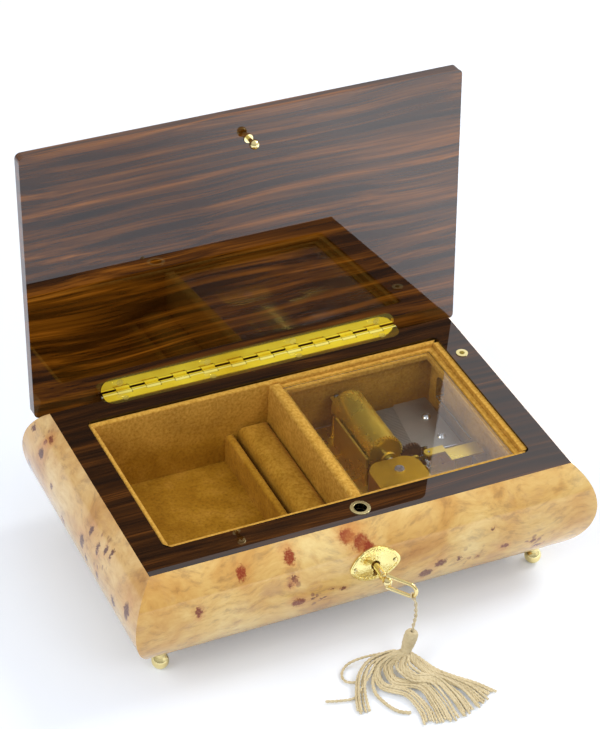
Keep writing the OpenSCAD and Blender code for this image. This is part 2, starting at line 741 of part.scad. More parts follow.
// ---- tassel ----
function unit(v) = v / norm(v);
function cord_dir(i) = unit(cord_points[min(i + 1, len(cord_points) - 1)] - cord_points[max(i - 1, 0)]);
function ring_at(i, a) = let (d = cord_dir(i), u = unit(cross(d, [0, 1, 0])), w = cross(d, u))
  cord_points[i] + cord_r * (cos(a) * u + sin(a) * w);
cord_sides = 8;
module tassel_cord() color(cream) placed() {
  n = len(cord_points);
  pts = [for (i = [0 : n - 1], k = [0 : cord_sides - 1]) ring_at(i, 360 * k / cord_sides)];
  walls = [for (i = [0 : n - 2], k = [0 : cord_sides - 1]) let (j = (k + 1) % cord_sides)
    [i * cord_sides + k, i * cord_sides + j, (i + 1) * cord_sides + j, (i + 1) * cord_sides + k]];
  ends = [[for (k = [cord_sides - 1 : -1 : 0]) k], [for (k = [0 : cord_sides - 1]) (n - 1) * cord_sides + k]];
  polyhedron(pts, concat(walls, ends), convexity = 4);
}
module tassel_head() color(cream) placed() translate(head_top - [0, 0, head_h]) {
  cylinder(r = head_r, h = head_h - 2.5, $fn = round_fn);
  translate([0, 0, head_h - 2.5]) cylinder(r1 = head_r, r2 = head_r - 1.6, h = 2.5, $fn = round_fn);
}
// the strands fall from the head and lie spread on the table
module tassel_skirt() color(cream) placed() hull() {
  translate(skirt_top - [0, 0, 0.4]) cylinder(r = 3.4, h = 0.4, $fn = 16);
  translate([9, -168, -stand]) cylinder(r = 8, h = 4, $fn = 16);
  translate([-12, -164, -stand]) cylinder(r = 7, h = 2.6, $fn = 16);
  translate([-2, -190, -stand]) cylinder(r = 10, h = 2.6, $fn = 16);
  translate([22, -192, -stand]) cylinder(r = 11, h = 2.6, $fn = 16);
}

// ---- stop pin ----
module stop_ring() color(brass) placed() translate([stop_x, stop_y, 0]) rotate_extrude($fn = round_fn) {
  translate([stop_r + run, 0]) square([stop_eye_r - stop_r - run, ring_proud]);
  translate([stop_r + run, -rim_t]) square([tube_t, rim_t + ring_proud]);
}
module stop_pin() color(brass) placed() translate([stop_x, stop_y, 0]) {
  difference() {
    post([0, 0, stop_low], stop_proud - stop_low, stop_r);
    along_x([-stop_r - 1, 0, stop_low + stop_wire_up], stop_r + 2, stop_wire_r);
  }
  post([0, 0, stop_head_z - 1], 1, stop_r + 0.7);
}
module stop_spring() color(steel) placed() translate([stop_x, stop_y, stop_low - stop_sink + 0.1])
  linear_extrude(height = stop_head_z - 1.2 - stop_low + stop_sink, twist = -360 * 8, slices = 128)
    translate([stop_r + 0.45, 0]) circle(r = 0.25, $fn = 6);
// bent wire from the pin, through the window in the lining, to a finger beside the fan
module stop_wire() color(steel) placed() {
  z = stop_low + stop_wire_up;
  r = stop_wire_r;
  turn_x = well_x - 3.5;
  end = [worm_x + 2.2, worm_y + vane_r + 1.4];
  along_x([turn_x, stop_y, z], stop_x - turn_x, r);
  along_y([turn_x, stop_y, z], stop_y - end[1], r);
  along_x([end[0], end[1], z], turn_x - end[0], r);
  post([end[0], end[1], z], 3.6, r);
  for (p = [[turn_x, stop_y], [turn_x, end[1]], end]) translate([p[0], p[1], z])
    sphere(r = r, $fn = 24);
}

// ---- movement ----
module movement_screw_holes() for (p = bed_screws) post([p[0], p[1], -case_h - 1], 40, bed_screw_r);
module bedplate() color(brass) placed() difference() {
  union() {
    box([bed_left, bed_front, bed_top - bed_t], [bed_right, bed_back, bed_top]);
    box([comb_seat, comb_front - comb_margin, bed_top - eps], [comb_end, comb_back + 1, comb_top - comb_t]);
    post([worm_x, worm_y, bed_top - eps], 1.6, 2.4);
  }
  post([drum_x, drum_y, bed_top - 5], 10, winder_r + run);
  post([worm_x, worm_y, bed_top - 0.4], 5, arbor_r / 2 + run);
  movement_screw_holes();
  for (y = comb_screw_y) post([comb_screw_x, y, comb_top - 8], 12, comb_screw_r);
}
module movement_screws() color(steel) placed() for (p = bed_screws) {
  post([p[0], p[1], floor_z - bottom_t], bed_top - floor_z + bottom_t, bed_screw_r);
  post([p[0], p[1], floor_z - bottom_t - 1], 1, 2.6);
}
module side_plate() color(brass) placed() {
  box([side_x, cyl_front - gear_t - 2, bed_top], [side_x + side_t, cyl_back - 9, -20]);
  for (y = [cyl_back - 14, cyl_front + 6])
    box([side_x - 4, y - 5, bed_top], [side_x + eps, y, bed_top + 1.2]);
}

// the tune: each note's row carries a few pins at its own angles
module tune_row_2d(n) {
  for (k = [0 : 2]) rotate(n * 47 + k * 120 + 29 * ((n * 7 + k * 5) % 4))
    translate([cyl_r - 1, -0.2]) square([1 + tune_pin_h, 0.4]);
}
// wheel with straight-sided teeth on an arbor along Y, from its back face to the front
module toothed(at, teeth, pitch_r, up, down, w, bore, turn) translate(at) rotate([90, 0, 0])
  linear_extrude(w) difference() {
    rotate(turn) gear_2d(teeth, pitch_r, up, down);
    circle(r = bore, $fn = round_fn);
  }
module pin_cylinder() color(brass) placed() {
  difference() {
    union() {
      along_y([cyl_x, cyl_back, -cyl_z], cyl_l, cyl_r);
      for (n = [0 : notes - 1])
        translate([cyl_x, comb_front + (n + 0.5) * comb_pitch + 0.2, -cyl_z]) rotate([90, 0, 0])
          linear_extrude(0.4) tune_row_2d(n);
    }
    along_y([cyl_x, cyl_back + 1, -cyl_z], 1 + 1.2, cyl_r - 1.2);
    along_y([cyl_x, cyl_back + 1, -cyl_z], cyl_l + 2, arbor_r);
  }
  toothed([cyl_x, cyl_front, -cyl_z], cyl_teeth, cyl_gear_r, 0.38, 0.6, gear_t, arbor_r, -wheel_fall);
}
module cylinder_arbor() color(steel) placed() {
  back = bracket_y + bearing_t + 0.3;
  along_y([cyl_x, back, -cyl_z], back - (pinion_y - pinion_t - 0.5), arbor_r);
  along_y([cyl_x, bridge_y - bridge_t - end_play, -cyl_z], 1.2, arbor_r + 0.8);
  toothed([cyl_x, pinion_y, -cyl_z], crown_pinion, pinion_r, 0.4, 0.6, pinion_t, arbor_r - eps,
          -90 - 180 / crown_pinion);
}

// rear bracket with its tab, and the front bridge that carries two arbors
module cylinder_bearings() color(brass) placed() {
  difference() {
    union() {
      box([cyl_x - 6, bracket_y, bed_top], [cyl_x + 5, bracket_y + bearing_t, bracket_tab]);
      box([bearing_screw_x - 3, bracket_y, bracket_tab - 1.2], [cyl_x + 5, bed_back - 0.4, bracket_tab]);
      post([bearing_screw_x, bracket_y + bearing_t + 1.4, bed_top], bracket_tab - bed_top, 1.9);
    }
    along_y([cyl_x, bracket_y + 5, -cyl_z], 10, arbor_r + run);
    post([bearing_screw_x, bracket_y + bearing_t + 1.4, bracket_tab - 5], 6, 0.8);
  }
  translate([0, bridge_y, 0]) rotate([90, 0, 0]) linear_extrude(bridge_t) difference() {
    union() {
      translate([cyl_x, -cyl_z]) circle(r = 4, $fn = round_fn);
      translate([cyl_x - 4, bed_top]) square([8, -bed_top - cyl_z]);
      translate([wheel_x, wheel_z]) circle(r = 3, $fn = round_fn);
      translate([wheel_x - 3, bed_top]) square([6, wheel_z - bed_top]);
      translate([cyl_x, bed_top]) square([wheel_x - cyl_x, 5]);
    }
    translate([cyl_x, -cyl_z]) circle(r = arbor_r + run, $fn = round_fn);
    translate([wheel_x, wheel_z]) circle(r = train_r + run, $fn = round_fn);
  }
}

// a slotted cheese-head or domed screw, head up, on the face at z = 0
module slotted(r, head_r, head_h, l, domed = false) {
  difference() {
    rotate_extrude($fn = round_fn) if (domed) intersection() {
      translate([0, head_h - dome_r(head_r, head_h)]) circle(r = dome_r(head_r, head_h), $fn = fine);
      square([head_r, head_h]);
    } else square([head_r, head_h]);
    translate([-head_r - 1, -0.3, head_h - 0.6]) cube([2 * head_r + 2, 0.6, 1]);
  }
  translate([0, 0, -l]) cylinder(r = r, h = l, $fn = round_fn);
}
function dome_r(w, h) = (w * w + h * h) / (2 * h);

module bearing_screw() color(steel) placed()
  translate([bearing_screw_x, bracket_y + bearing_t + 1.4, bracket_tab]) slotted(0.8, 1.6, 1, 4.5);

module comb_2d() difference() {
  union() {
    translate([tip_x, comb_front]) square([comb_end - tip_x, comb_back - comb_front]);
    translate([comb_root[1] + 1, comb_front - comb_margin])
      square([comb_end - comb_root[1] - 1, comb_back - comb_front + comb_margin + 1]);
  }
  for (n = [0 : notes]) translate([tip_x - 1, comb_front + n * comb_pitch - comb_slot / 2])
    square([1 + comb_root[0] - tip_x + (comb_root[1] - comb_root[0]) * n / notes, comb_slot]);
}
module comb() color(steel) placed() difference() {
  translate([0, 0, comb_top - comb_t]) linear_extrude(comb_t) comb_2d();
  for (y = comb_screw_y) post([comb_screw_x, y, comb_top - 8], 12, comb_screw_r);
}
module comb_screws() color(steel) placed() for (y = comb_screw_y)
  translate([comb_screw_x, y, comb_top]) slotted(comb_screw_r, 2.5, 1.6, 6.5, domed = true);

module spring_drum() color(brass) placed() translate([drum_x, drum_y, 0]) difference() {
  union() {
    post([0, 0, drum_low], drum_top - drum_low, drum_r);
    post([0, 0, crown_face - drum_flange_t], drum_flange_t, drum_flange_r);
    contact = atan2(sqrt(crown_r * crown_r - pow(cyl_x - drum_x, 2)), cyl_x - drum_x);
    for (i = [0 : crown_teeth - 1]) rotate(contact + i * 360 / crown_teeth)
      box([crown_r - crown_w / 2, -0.2, crown_face - eps], [crown_r + crown_w / 2, 0.2, crown_tip]);
  }
  post([0, 0, drum_low + drum_wall], drum_top - drum_low - 2 * drum_wall, drum_r - drum_wall);
  post([0, 0, drum_low - 1], 40, winder_r + run);
}

// flat spring wound in a spiral from the hub to the drum's wall
module mainspring() color(steel) placed() translate([drum_x, drum_y, drum_low + drum_wall + 0.2])
  linear_extrude(drum_top - drum_low - 2 * drum_wall - 0.4) {
    inner = hub_r + 0.2;
    outer = drum_r - drum_wall - spring_t;
    steps = spring_turns * 16;
    polygon([for (k = [0 : 2 * steps + 1]) let (
      i = k <= steps ? k : 2 * steps + 1 - k,
      r = inner + (outer - inner) * i / steps + (k <= steps ? 0 : spring_t),
      a = i * 22.5) r * [cos(a), sin(a)]]);
  }
module winding_arbor() color(steel) placed() translate([drum_x, drum_y, 0]) {
  post([0, 0, winder_low], drum_top + 0.2 - winder_low, winder_r);
  post([0, 0, drum_low + drum_wall + 0.2], drum_top - drum_low - 2 * drum_wall - 0.4, hub_r);
}
module winding_key() color(brass) placed() translate([drum_x, drum_y, 0]) {
  difference() {
    union() {
      post([0, 0, winder_low - 0.6], 4.2, 3);
      translate([0, wing_t / 2, wing_z]) rotate([90, 0, 0]) linear_extrude(wing_t) difference() {
        union() for (s = [-1, 1]) {
          translate([s * 6.5, 0]) circle(r = wing_r, $fn = round_fn);
          translate([-3, -2.2]) square([6, 4.4]);
        }
        for (s = [-1, 1]) translate([s * 7.2, 0]) circle(r = 1.6, $fn = round_fn);
      }
    }
    post([0, 0, winder_low], 20, winder_r);
  }
}
module cover_2d(half, corner) {
  for (x = [-1, 1], y = [-1, 1]) translate([x, y] * (half - corner)) circle(r = corner, $fn = fine);
  for (a = [0, 90]) rotate(a) translate([-half, corner - half]) square([2 * half, 2 * (half - corner)]);
}
module spring_cover() color(steel) placed() difference() {
  translate([drum_x, drum_y, bed_top]) linear_extrude(cover_top - bed_top) cover_2d(cover_half, cover_corner);
  translate([drum_x, drum_y, bed_top - 1]) linear_extrude(cover_top - cover_t - bed_top + 1)
    cover_2d(cover_in, cover_corner - cover_t);
  box([cyl_x - cover_window / 2, drum_y + cover_in - 1, bed_top - 1],
      [cyl_x + cover_window / 2, drum_y + cover_half + 1, cover_top - cover_t]);
  post([drum_x + 1.2, drum_y + 4.4, cover_top - 3], 6, 0.9);
}
module cover_screw() color(steel) placed()
  translate([drum_x + 1.2, drum_y + 4.4, cover_top]) slotted(0.9, 2.5, 0.9, cover_t + 0.2);

module train_wheel() color([0.45, 0.30, 0.16]) placed() {
  back = cyl_front + 0.5;
  along_y([wheel_x, back, wheel_z], back - governor_back_y + bearing_t + 0.2, train_r);
  toothed([wheel_x, cyl_front, wheel_z], wheel_teeth, wheel_r, 0.38, 0.6, gear_t, train_r - eps,
          180 - wheel_fall - 180 / wheel_teeth);
  toothed([wheel_x, worm_y + 0.6, wheel_z], worm_teeth, worm_wheel_r, worm_up, 0.4, 1.2, train_r - eps,
          180 / worm_teeth);
}
module governor_frame() color(steel) placed() {
  top = governor_top - governor_t;
  difference() {
    union() {
      box([bed_right - 17, worm_y - 10, bed_top], [bed_right, worm_y - 1, bed_top + 1.2]);
      box([bed_right - 13, worm_y - 6, bed_top], [bed_right - 4, worm_y - 4.5, top + eps]);
      box([bed_right - 18, worm_y - 10, top], [bed_right, worm_y - 1, governor_top]);
      box([worm_x, worm_y - 2.5, top], [bed_right - 17, worm_y + 2.5, governor_top]);
      post([worm_x, worm_y, top], governor_t, 2.5);
    }
    post([worm_x, worm_y, top - 1], 5, arbor_r / 2 + run);
  }
  difference() {
    union() {
      box([wheel_x - 3, governor_back_y - bearing_t, bed_top], [wheel_x + 3, governor_back_y, wheel_z]);
      along_y([wheel_x, governor_back_y, wheel_z], bearing_t, 3);
      box([wheel_x - 3, governor_back_y - bearing_t - 3, bed_top],
          [bed_right - 17 + eps, governor_back_y, bed_top + 1.2]);
    }
    along_y([wheel_x, governor_back_y + 1, wheel_z], bearing_t + 2, train_r + run);
  }
}
// worm and fan on one upright arbor; the thread turns once for each tooth of the wheel
module governor_worm() color(steel) placed() translate([worm_x, worm_y, 0]) {
  post([0, 0, bed_top - 0.3], governor_top + 0.2 - bed_top + 0.3, arbor_r / 2);
  post([0, 0, bed_top + 1.8], governor_top - governor_t - 0.2 - bed_top - 1.8, worm_core_r);
  h = worm_turns * worm_pitch;
  translate([0, 0, wheel_z - h / 2])
    linear_extrude(height = h, twist = -360 * worm_turns, slices = 12 * worm_turns)
      translate([-worm_swing, 0]) circle(r = worm_r - worm_swing, $fn = 12);
  box([-vane_r, -vane_t / 2, vane_low], [vane_r, vane_t / 2, vane_low + vane_h]);
}

case_front();
case_back();
case_left();
case_right();
top_rim();
bottom_board();
ball_feet();
foot_screws();
lining_front();
lining_back();
lining_left();
lining_right();
well_floor();
movement_board();
divider();
ring_bar();
ring_pad();
pane_frame();
clear_pane();
hinge_base_leaf();
hinge_lid_leaf();
hinge_pin();
hinge_base_screws();
hinge_lid_screws();
lid();
keeper_post();
catch_ring();
lock_case();
lock_bolt();
escutcheon();
escutcheon_pins();
key_stem();
key_bow();
tassel_cord();
tassel_head();
tassel_skirt();
stop_ring();
stop_pin();
stop_spring();
stop_wire();
bedplate();
movement_screws();
side_plate();
pin_cylinder();
cylinder_arbor();
cylinder_bearings();
bearing_screw();
comb();
comb_screws();
spring_drum();
mainspring();
winding_arbor();
winding_key();
spring_cover();
cover_screw();
train_wheel();
governor_frame();
governor_worm();
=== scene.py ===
import json
import math
import random

import bmesh
import bpy
from mathutils import Matrix, Vector

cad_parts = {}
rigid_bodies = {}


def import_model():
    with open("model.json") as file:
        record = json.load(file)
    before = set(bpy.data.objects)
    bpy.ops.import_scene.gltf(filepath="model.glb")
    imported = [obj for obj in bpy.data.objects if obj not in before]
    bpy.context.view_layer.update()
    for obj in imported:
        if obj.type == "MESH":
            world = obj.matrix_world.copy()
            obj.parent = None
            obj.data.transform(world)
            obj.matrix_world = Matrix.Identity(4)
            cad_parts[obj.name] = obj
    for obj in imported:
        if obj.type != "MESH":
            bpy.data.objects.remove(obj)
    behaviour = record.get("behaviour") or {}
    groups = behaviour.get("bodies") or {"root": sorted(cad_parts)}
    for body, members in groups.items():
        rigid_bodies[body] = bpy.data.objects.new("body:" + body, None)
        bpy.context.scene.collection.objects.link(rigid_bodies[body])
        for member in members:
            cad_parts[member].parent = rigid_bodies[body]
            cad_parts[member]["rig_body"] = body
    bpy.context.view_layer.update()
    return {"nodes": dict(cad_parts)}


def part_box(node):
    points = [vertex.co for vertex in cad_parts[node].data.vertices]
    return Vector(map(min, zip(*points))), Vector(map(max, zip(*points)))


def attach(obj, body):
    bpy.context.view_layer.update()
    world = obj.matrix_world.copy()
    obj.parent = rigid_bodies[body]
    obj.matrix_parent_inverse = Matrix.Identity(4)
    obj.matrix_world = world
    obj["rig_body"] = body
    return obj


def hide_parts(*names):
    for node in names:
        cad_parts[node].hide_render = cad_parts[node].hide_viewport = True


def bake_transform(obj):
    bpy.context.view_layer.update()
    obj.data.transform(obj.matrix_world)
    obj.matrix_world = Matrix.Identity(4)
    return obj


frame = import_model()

# ---------------------------------------------------------------- camera
# The box is looked at from its front left and from above, through a long lens, so that
# its far edges shrink only a little.
MM = 0.001
rim_low, rim_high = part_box("top_rim")


def at(x, y, z):
    """A place in mm, counted from the middle of the rim's back edge, at its top."""
    return Vector((x * MM, rim_high.y + y * MM, rim_high.z + z * MM))


eye = Vector((-442.8, -873.6, 844.6)) * MM
away = Vector((-0.3591, -0.7168, 0.5978)).normalized()
roll = math.radians(2.915)
level = Vector((0, 0, 1)).cross(away).normalized()
upward = away.cross(level)
across = math.cos(roll) * level + math.sin(roll) * upward
upright = math.cos(roll) * upward - math.sin(roll) * level

lens = bpy.data.cameras.new("camera")
lens.sensor_fit = "HORIZONTAL"
lens.sensor_width = 36
lens.lens = 154.48
lens.shift_x = -0.0153
lens.shift_y = 0.0053
lens.clip_start = 0.05
camera = bpy.data.objects.new("camera", lens)
bpy.context.scene.collection.objects.link(camera)
camera.matrix_world = Matrix((
    (across.x, upright.x, away.x, eye.x),
    (across.y, upright.y, away.y, eye.y),
    (across.z, upright.z, away.z, eye.z),
    (0, 0, 0, 1)))
bpy.context.scene.camera = camera
bpy.context.scene.view_settings.view_transform = "Standard"


# ---------------------------------------------------------------- table and lamps
# The box stands on a plain white table. A soft lamp hangs to the right of it and weaker
# ones on the left and in front, inside a pale room that is darker near the ground.
def colour(red, green, blue):
    """A colour written as it looks on a screen, 0 to 255, as a shader takes it."""
    return tuple(((c / 255 + 0.055) / 1.055) ** 2.4 for c in (red, green, blue)) + (1.0,)


def node(tree, kind, inputs=None, **fields):
    """A new shader node, with its fields set and its inputs given as values or sockets."""
    made = tree.nodes.new("ShaderNode" + kind)
    for field, value in fields.items():
        setattr(made, field, value)
    for name, value in (inputs or {}).items():
        if isinstance(value, bpy.types.NodeSocket):
            tree.links.new(value, made.inputs[name])
        else:
            made.inputs[name].default_value = value
    return made


def ramp(tree, share, stops):
    """A colour that runs through the stops, (share, colour), as the share goes from 0 to 1."""
    made = node(tree, "ValToRGB", {"Fac": share})
    band = made.color_ramp
    while len(band.elements) < len(stops):
        band.elements.new(0.5)
    for element, (place, tone) in zip(band.elements, stops):
        element.position = place
        element.color = tone
    return made.outputs["Color"]


def runs(tree, share, start, end, first, last):
    """A value that runs from the first to the last while the share goes from start to end."""
    return node(tree, "MapRange", {0: share, 1: start, 2: end, 3: first, 4: last}).outputs[0]


def joined(tree, operation, first, second):
    """Two values multiplied, added, or the higher one taken."""
    return node(tree, "Math", {0: first, 1: second}, operation=operation).outputs[0]


table_half = 3.0
table_drop = 0.0001                     # keeps the table just below the feet
table_tone = colour(240, 246, 255)
near_glow, far_glow = 0.16, 1.0
glow_start, glow_full = 0.45, 1.4       # metres from the middle of the box
sheen_start, sheen_full = 0.1, 0.24     # metres to its right

table_mesh = bmesh.new()
bmesh.ops.create_grid(table_mesh, x_segments=1, y_segments=1, size=table_half)
bmesh.ops.translate(table_mesh, verts=table_mesh.verts, vec=(0, 0, -table_drop))
table = bpy.data.objects.new("table", bpy.data.meshes.new("table"))
table_mesh.to_mesh(table.data)
table_mesh.free()
bpy.context.scene.collection.objects.link(table)

# The table glows a little near the box and fully far from it, so that it shows white right
# up to the shadow. The lacquer mirrors its right-hand side as brighter still.
cloth = bpy.data.materials.new("white_table")
cloth.use_nodes = True
tree = cloth.node_tree
tree.nodes.clear()
rays = node(tree, "LightPath").outputs
spot = node(tree, "TexCoord").outputs["Object"]
distance = node(tree, "VectorMath", {0: spot}, operation="LENGTH").outputs["Value"]
to_right = node(tree, "SeparateXYZ", {0: spot}).outputs["X"]
lift = runs(tree, distance, glow_start, glow_full, near_glow, far_glow)
sheen = runs(tree, to_right, sheen_start, sheen_full, 0.0, 1.0)
matt = node(tree, "BsdfDiffuse", {"Color": table_tone}).outputs[0]
glow = node(tree, "Emission", {"Color": (1, 1, 1, 1), "Strength": 1.0}).outputs[0]
both = node(tree, "MixShader", {
    0: joined(tree, "MULTIPLY", rays["Is Camera Ray"], lift), 1: matt, 2: glow}).outputs[0]
shine = node(tree, "Emission", {"Strength": joined(tree, "MULTIPLY", rays["Is Glossy Ray"], sheen)})
total = node(tree, "AddShader", {0: both, 1: shine.outputs[0]})
node(tree, "OutputMaterial", {"Surface": total.outputs[0]})
table.data.materials.append(cloth)

# The room is brighter on the right, and most of all in what the lacquer and the pane mirror.
left_light, right_light, window_light = 0.76, 1.05, 0.4
room = bpy.data.worlds.new("pale_room")
bpy.context.scene.world = room
room.use_nodes = True
tree = room.node_tree
tree.nodes.clear()
rays = node(tree, "LightPath").outputs
way = node(tree, "SeparateXYZ", {0: node(tree, "TexCoord").outputs["Generated"]}).outputs
walls = ramp(tree, way["Z"], [
    (0.0, (0.42, 0.43, 0.46, 1)), (0.35, (0.62, 0.63, 0.66, 1)), (0.75, (0.92, 0.93, 0.96, 1))])
plain_light = runs(tree, way["X"], 0.1, 0.8, left_light, right_light)
window = joined(tree, "MULTIPLY", rays["Is Glossy Ray"], runs(tree, way["X"], 0.25, 0.45, 0.0, window_light))
room_light = node(tree, "Background", {
    "Color": walls, "Strength": joined(tree, "ADD", plain_light, window)}).outputs[0]
room_seen = node(tree, "Background", {"Color": (1, 1, 1, 1), "Strength": 1.0}).outputs[0]
both = node(tree, "MixShader", {0: rays["Is Camera Ray"], 1: room_light, 2: room_seen})
node(tree, "OutputWorld", {"Surface": both.outputs[0]})

# Only the right lamp shows in polished surfaces.
lamp_aim = Vector((0, 0, 0.08))
for name, place, size, power in [
        ("left_lamp", (-1.25, -0.35, 1.15), 0.9, 12.5),
        ("front_lamp", (0.35, -1.5, 1.3), 0.7, 6.1),
        ("right_lamp", (1.2, 0.15, 1.15), 0.7, 13.0)]:
    lamp = bpy.data.lights.new(name, "AREA")
    lamp.size = size
    lamp.energy = power
    holder = bpy.data.objects.new(name, lamp)
    bpy.context.scene.collection.objects.link(holder)
    holder.location = place
    holder.rotation_euler = (lamp_aim - Vector(place)).to_track_quat("-Z", "Y").to_euler()
    holder.visible_glossy = name == "right_lamp"


# ---------------------------------------------------------------- key tassel
# A thin twisted cord is looped through the key's bow and ends in the tassel. The tassel is
# a bundle of two-ply silk yarn, folded over the cord, bound at the neck and left to spread.
def finish(name, settings):
    """A new material whose shader takes these settings."""
    made = bpy.data.materials.new(name)
    made.use_nodes = True
    for socket, value in settings.items():
        shader_of(made)[socket].default_value = value
    return made


def shader_of(look):
    """The sockets of the look's shader."""
    return look.node_tree.nodes["Principled BSDF"].inputs


def stretched(tree, where, scale, turn=(0, 0, 0)):
    """The place, turned and stretched before a pattern reads it."""
    return node(tree, "Mapping", {"Vector": where, "Scale": scale, "Rotation": turn}).outputs[0]


def place_of(tree, scale=(1, 1, 1)):
    """The point on the piece that is shaded, in metres, stretched by the scale."""
    return stretched(tree, node(tree, "TexCoord").outputs["Object"], scale)


def noise(tree, where, scale, detail=3.0, rough=0.5, output=0):
    """Soft blotches, as many to the metre as the scale says."""
    return node(tree, "TexNoise", {
        "Vector": where, "Scale": scale, "Detail": detail, "Roughness": rough}).outputs[output]


def mixed(tree, share, under, over, blend="MIX"):
    """One colour laid over another, as strongly as the share says."""
    return node(tree, "Mix", {0: share, 6: under, 7: over}, data_type="RGBA", blend_type=blend).outputs[2]


def bump(look, height, strength, depth):
    """The look's surface follows the height, which is worth this depth in metres."""
    tree = look.node_tree
    made = node(tree, "Bump", {"Height": height, "Strength": strength, "Distance": depth})
    tree.links.new(made.outputs[0], shader_of(look)["Normal"])


def smooth_route(points, steps):
    """A smooth line through the points, with this many steps from each to the next."""
    ends = [points[0] * 2 - points[1]] + list(points) + [points[-1] * 2 - points[-2]]
    line = []
    for a, b, c, d in zip(ends, ends[1:], ends[2:], ends[3:]):
        for i in range(steps):
            t = i / steps
            line.append(0.5 * (2 * b + (c - a) * t + (2 * a - 5 * b + 4 * c - d) * t ** 2
                               + (3 * b - a - 3 * c + d) * t ** 3))
    return line + [points[-1]]


def twisted(line, reach, pitch, turn):
    """A line that winds round another at this reach, a full turn in each pitch."""
    off_axis = Vector((0.31, 0.82, 0.48))
    wound = []
    gone = 0.0
    for i, point in enumerate(line):
        ahead = line[min(i + 1, len(line) - 1)]
        behind = line[max(i - 1, 0)]
        along = (ahead - behind).normalized()
        first = along.cross(off_axis).normalized()
        second = along.cross(first)
        angle = turn + 2 * math.pi * gone / pitch
        wound.append(point + reach * (math.cos(angle) * first + math.sin(angle) * second))
        gone += (ahead - point).length
    return wound


def thread(name, lines, radius, look):
    """One piece made of round threads that follow the lines."""
    shape = bpy.data.curves.new(name, "CURVE")
    shape.dimensions = "3D"
    shape.bevel_depth = radius
    shape.bevel_resolution = 1
    shape.use_fill_caps = True
    for line in lines:
        spline = shape.splines.new("POLY")
        spline.points.add(len(line) - 1)
        for knot, point in zip(spline.points, line):
            knot.co = (*point, 1)
    wire = bpy.data.objects.new(name + "_line", shape)
    bpy.context.scene.collection.objects.link(wire)
    tube = bpy.data.meshes.new_from_object(wire.evaluated_get(bpy.context.evaluated_depsgraph_get()))
    bpy.data.objects.remove(wire)
    tube.name = name
    tube.materials.clear()
    tube.materials.append(look)
    tube.shade_smooth()
    made = bpy.data.objects.new(name, tube)
    bpy.context.scene.collection.objects.link(made)
    return made


silk = finish("cream_silk", {"Roughness": 0.55, "Sheen Weight": 0.35, "Sheen Roughness": 0.4})
tree = silk.node_tree
strand = noise(tree, place_of(tree), 900, 2)
shade = noise(tree, place_of(tree), 130, 3)
yarn_tone = ramp(tree, shade, [(0.35, colour(172, 152, 106)), (0.65, colour(208, 191, 150))])
tree.links.new(mixed(tree, strand, yarn_tone, colour(220, 205, 168)), shader_of(silk)["Base Color"])
bump(silk, strand, 0.5, 0.0002)

# The cord's two legs wind round each other below the bow, and its loop is round the wire.
cord_r = 0.42
cord_lay = 0.48
cord_pitch = 7
loop_r = 1.5
loop_steps = 10
loop_legs = 4
bow_grip = at(8.17, -164.85, -22.88)
bow_angle = math.radians(37)
bow_side = Vector((math.cos(bow_angle), math.sin(bow_angle), 0))
bow_in = Vector((-0.35, 0.46, 0.81)).normalized()
cord_points = [at(9.2, -165.6, -24.6), at(9.4, -165.8, -28), at(9.8, -165.7, -32),
               at(10.2, -165.2, -36), at(10.2, -164.5, -40), at(10, -164, -43.5), at(10, -164, -46.5)]
drop = smooth_route(cord_points, 6)
legs = [twisted(drop, cord_lay * MM, cord_pitch * MM, turn) for turn in (0.0, math.pi)]
if (legs[0][0] - legs[1][0]).dot(bow_side) < 0:
    legs.reverse()
bow_loop = [bow_grip + loop_r * MM * (math.cos(a) * bow_side + math.sin(a) * bow_in)
            for a in [math.pi * i / loop_steps for i in range(-1, loop_steps + 2)]]
cord_line = smooth_route(
    [legs[0][i] for i in range(len(drop) - 1, loop_legs - 1, -2)] + bow_loop
    + [legs[1][i] for i in range(loop_legs, len(drop), 2)], 3)
tassel_cord = thread("key_cord", [cord_line], cord_r * MM, silk)
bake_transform(tassel_cord)
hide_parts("tassel_cord")

# The head hangs a little askew, because the skirt rests on the table. Its yarns run from
# the neck over a round shoulder to the cord, and more yarn binds them at the neck.
crown = cord_points[-1]
neck = at(7.6, -163.6, -57.6)
lean = (crown - neck).normalized()
lean_side = lean.cross(Vector((0, 1, 0))).normalized()
lean_back = lean.cross(lean_side)
head_h = (crown - neck).length / MM
head_r = 2.85
head_yarns = 26
head_profile = [(1.9, -0.4), (2.2, 1.4), (0.9 * head_r, 3.4), (head_r, 0.6 * head_h),
                (0.96 * head_r, 0.86 * head_h), (0.7 * head_r, 0.97 * head_h),
                (0.25 * head_r, 0.96 * head_h)]
head_lay = 0.2
head_thread_r = 0.34
binding_r = 2.35
binding_low = 0.2
binding_rise = 0.03
binding_turn = 0.5
binding_steps = 44


def around(angle, out, up):
    """A place round the tassel's middle, in mm above its neck."""
    return neck + MM * (out * (math.cos(angle) * lean_side + math.sin(angle) * lean_back) + up * lean)


def two_ply(line, lay=0.3, pitch=4.2):
    """Two threads that wind round the line, with their middles this far from it."""
    return [twisted(line, lay * MM, pitch * MM, turn) for turn in (0.0, math.pi)]


head_lines = []
for i in range(head_yarns):
    a = 2 * math.pi * i / head_yarns
    head_lines += two_ply(smooth_route([around(a, out, up) for out, up in head_profile], 5), lay=head_lay)
binding = [around(binding_turn * i, binding_r, binding_low + binding_rise * i)
           for i in range(binding_steps)]
head_lines += two_ply(binding, lay=head_lay)
tassel_head = thread("tassel_head_yarns", head_lines, head_thread_r * MM, silk)

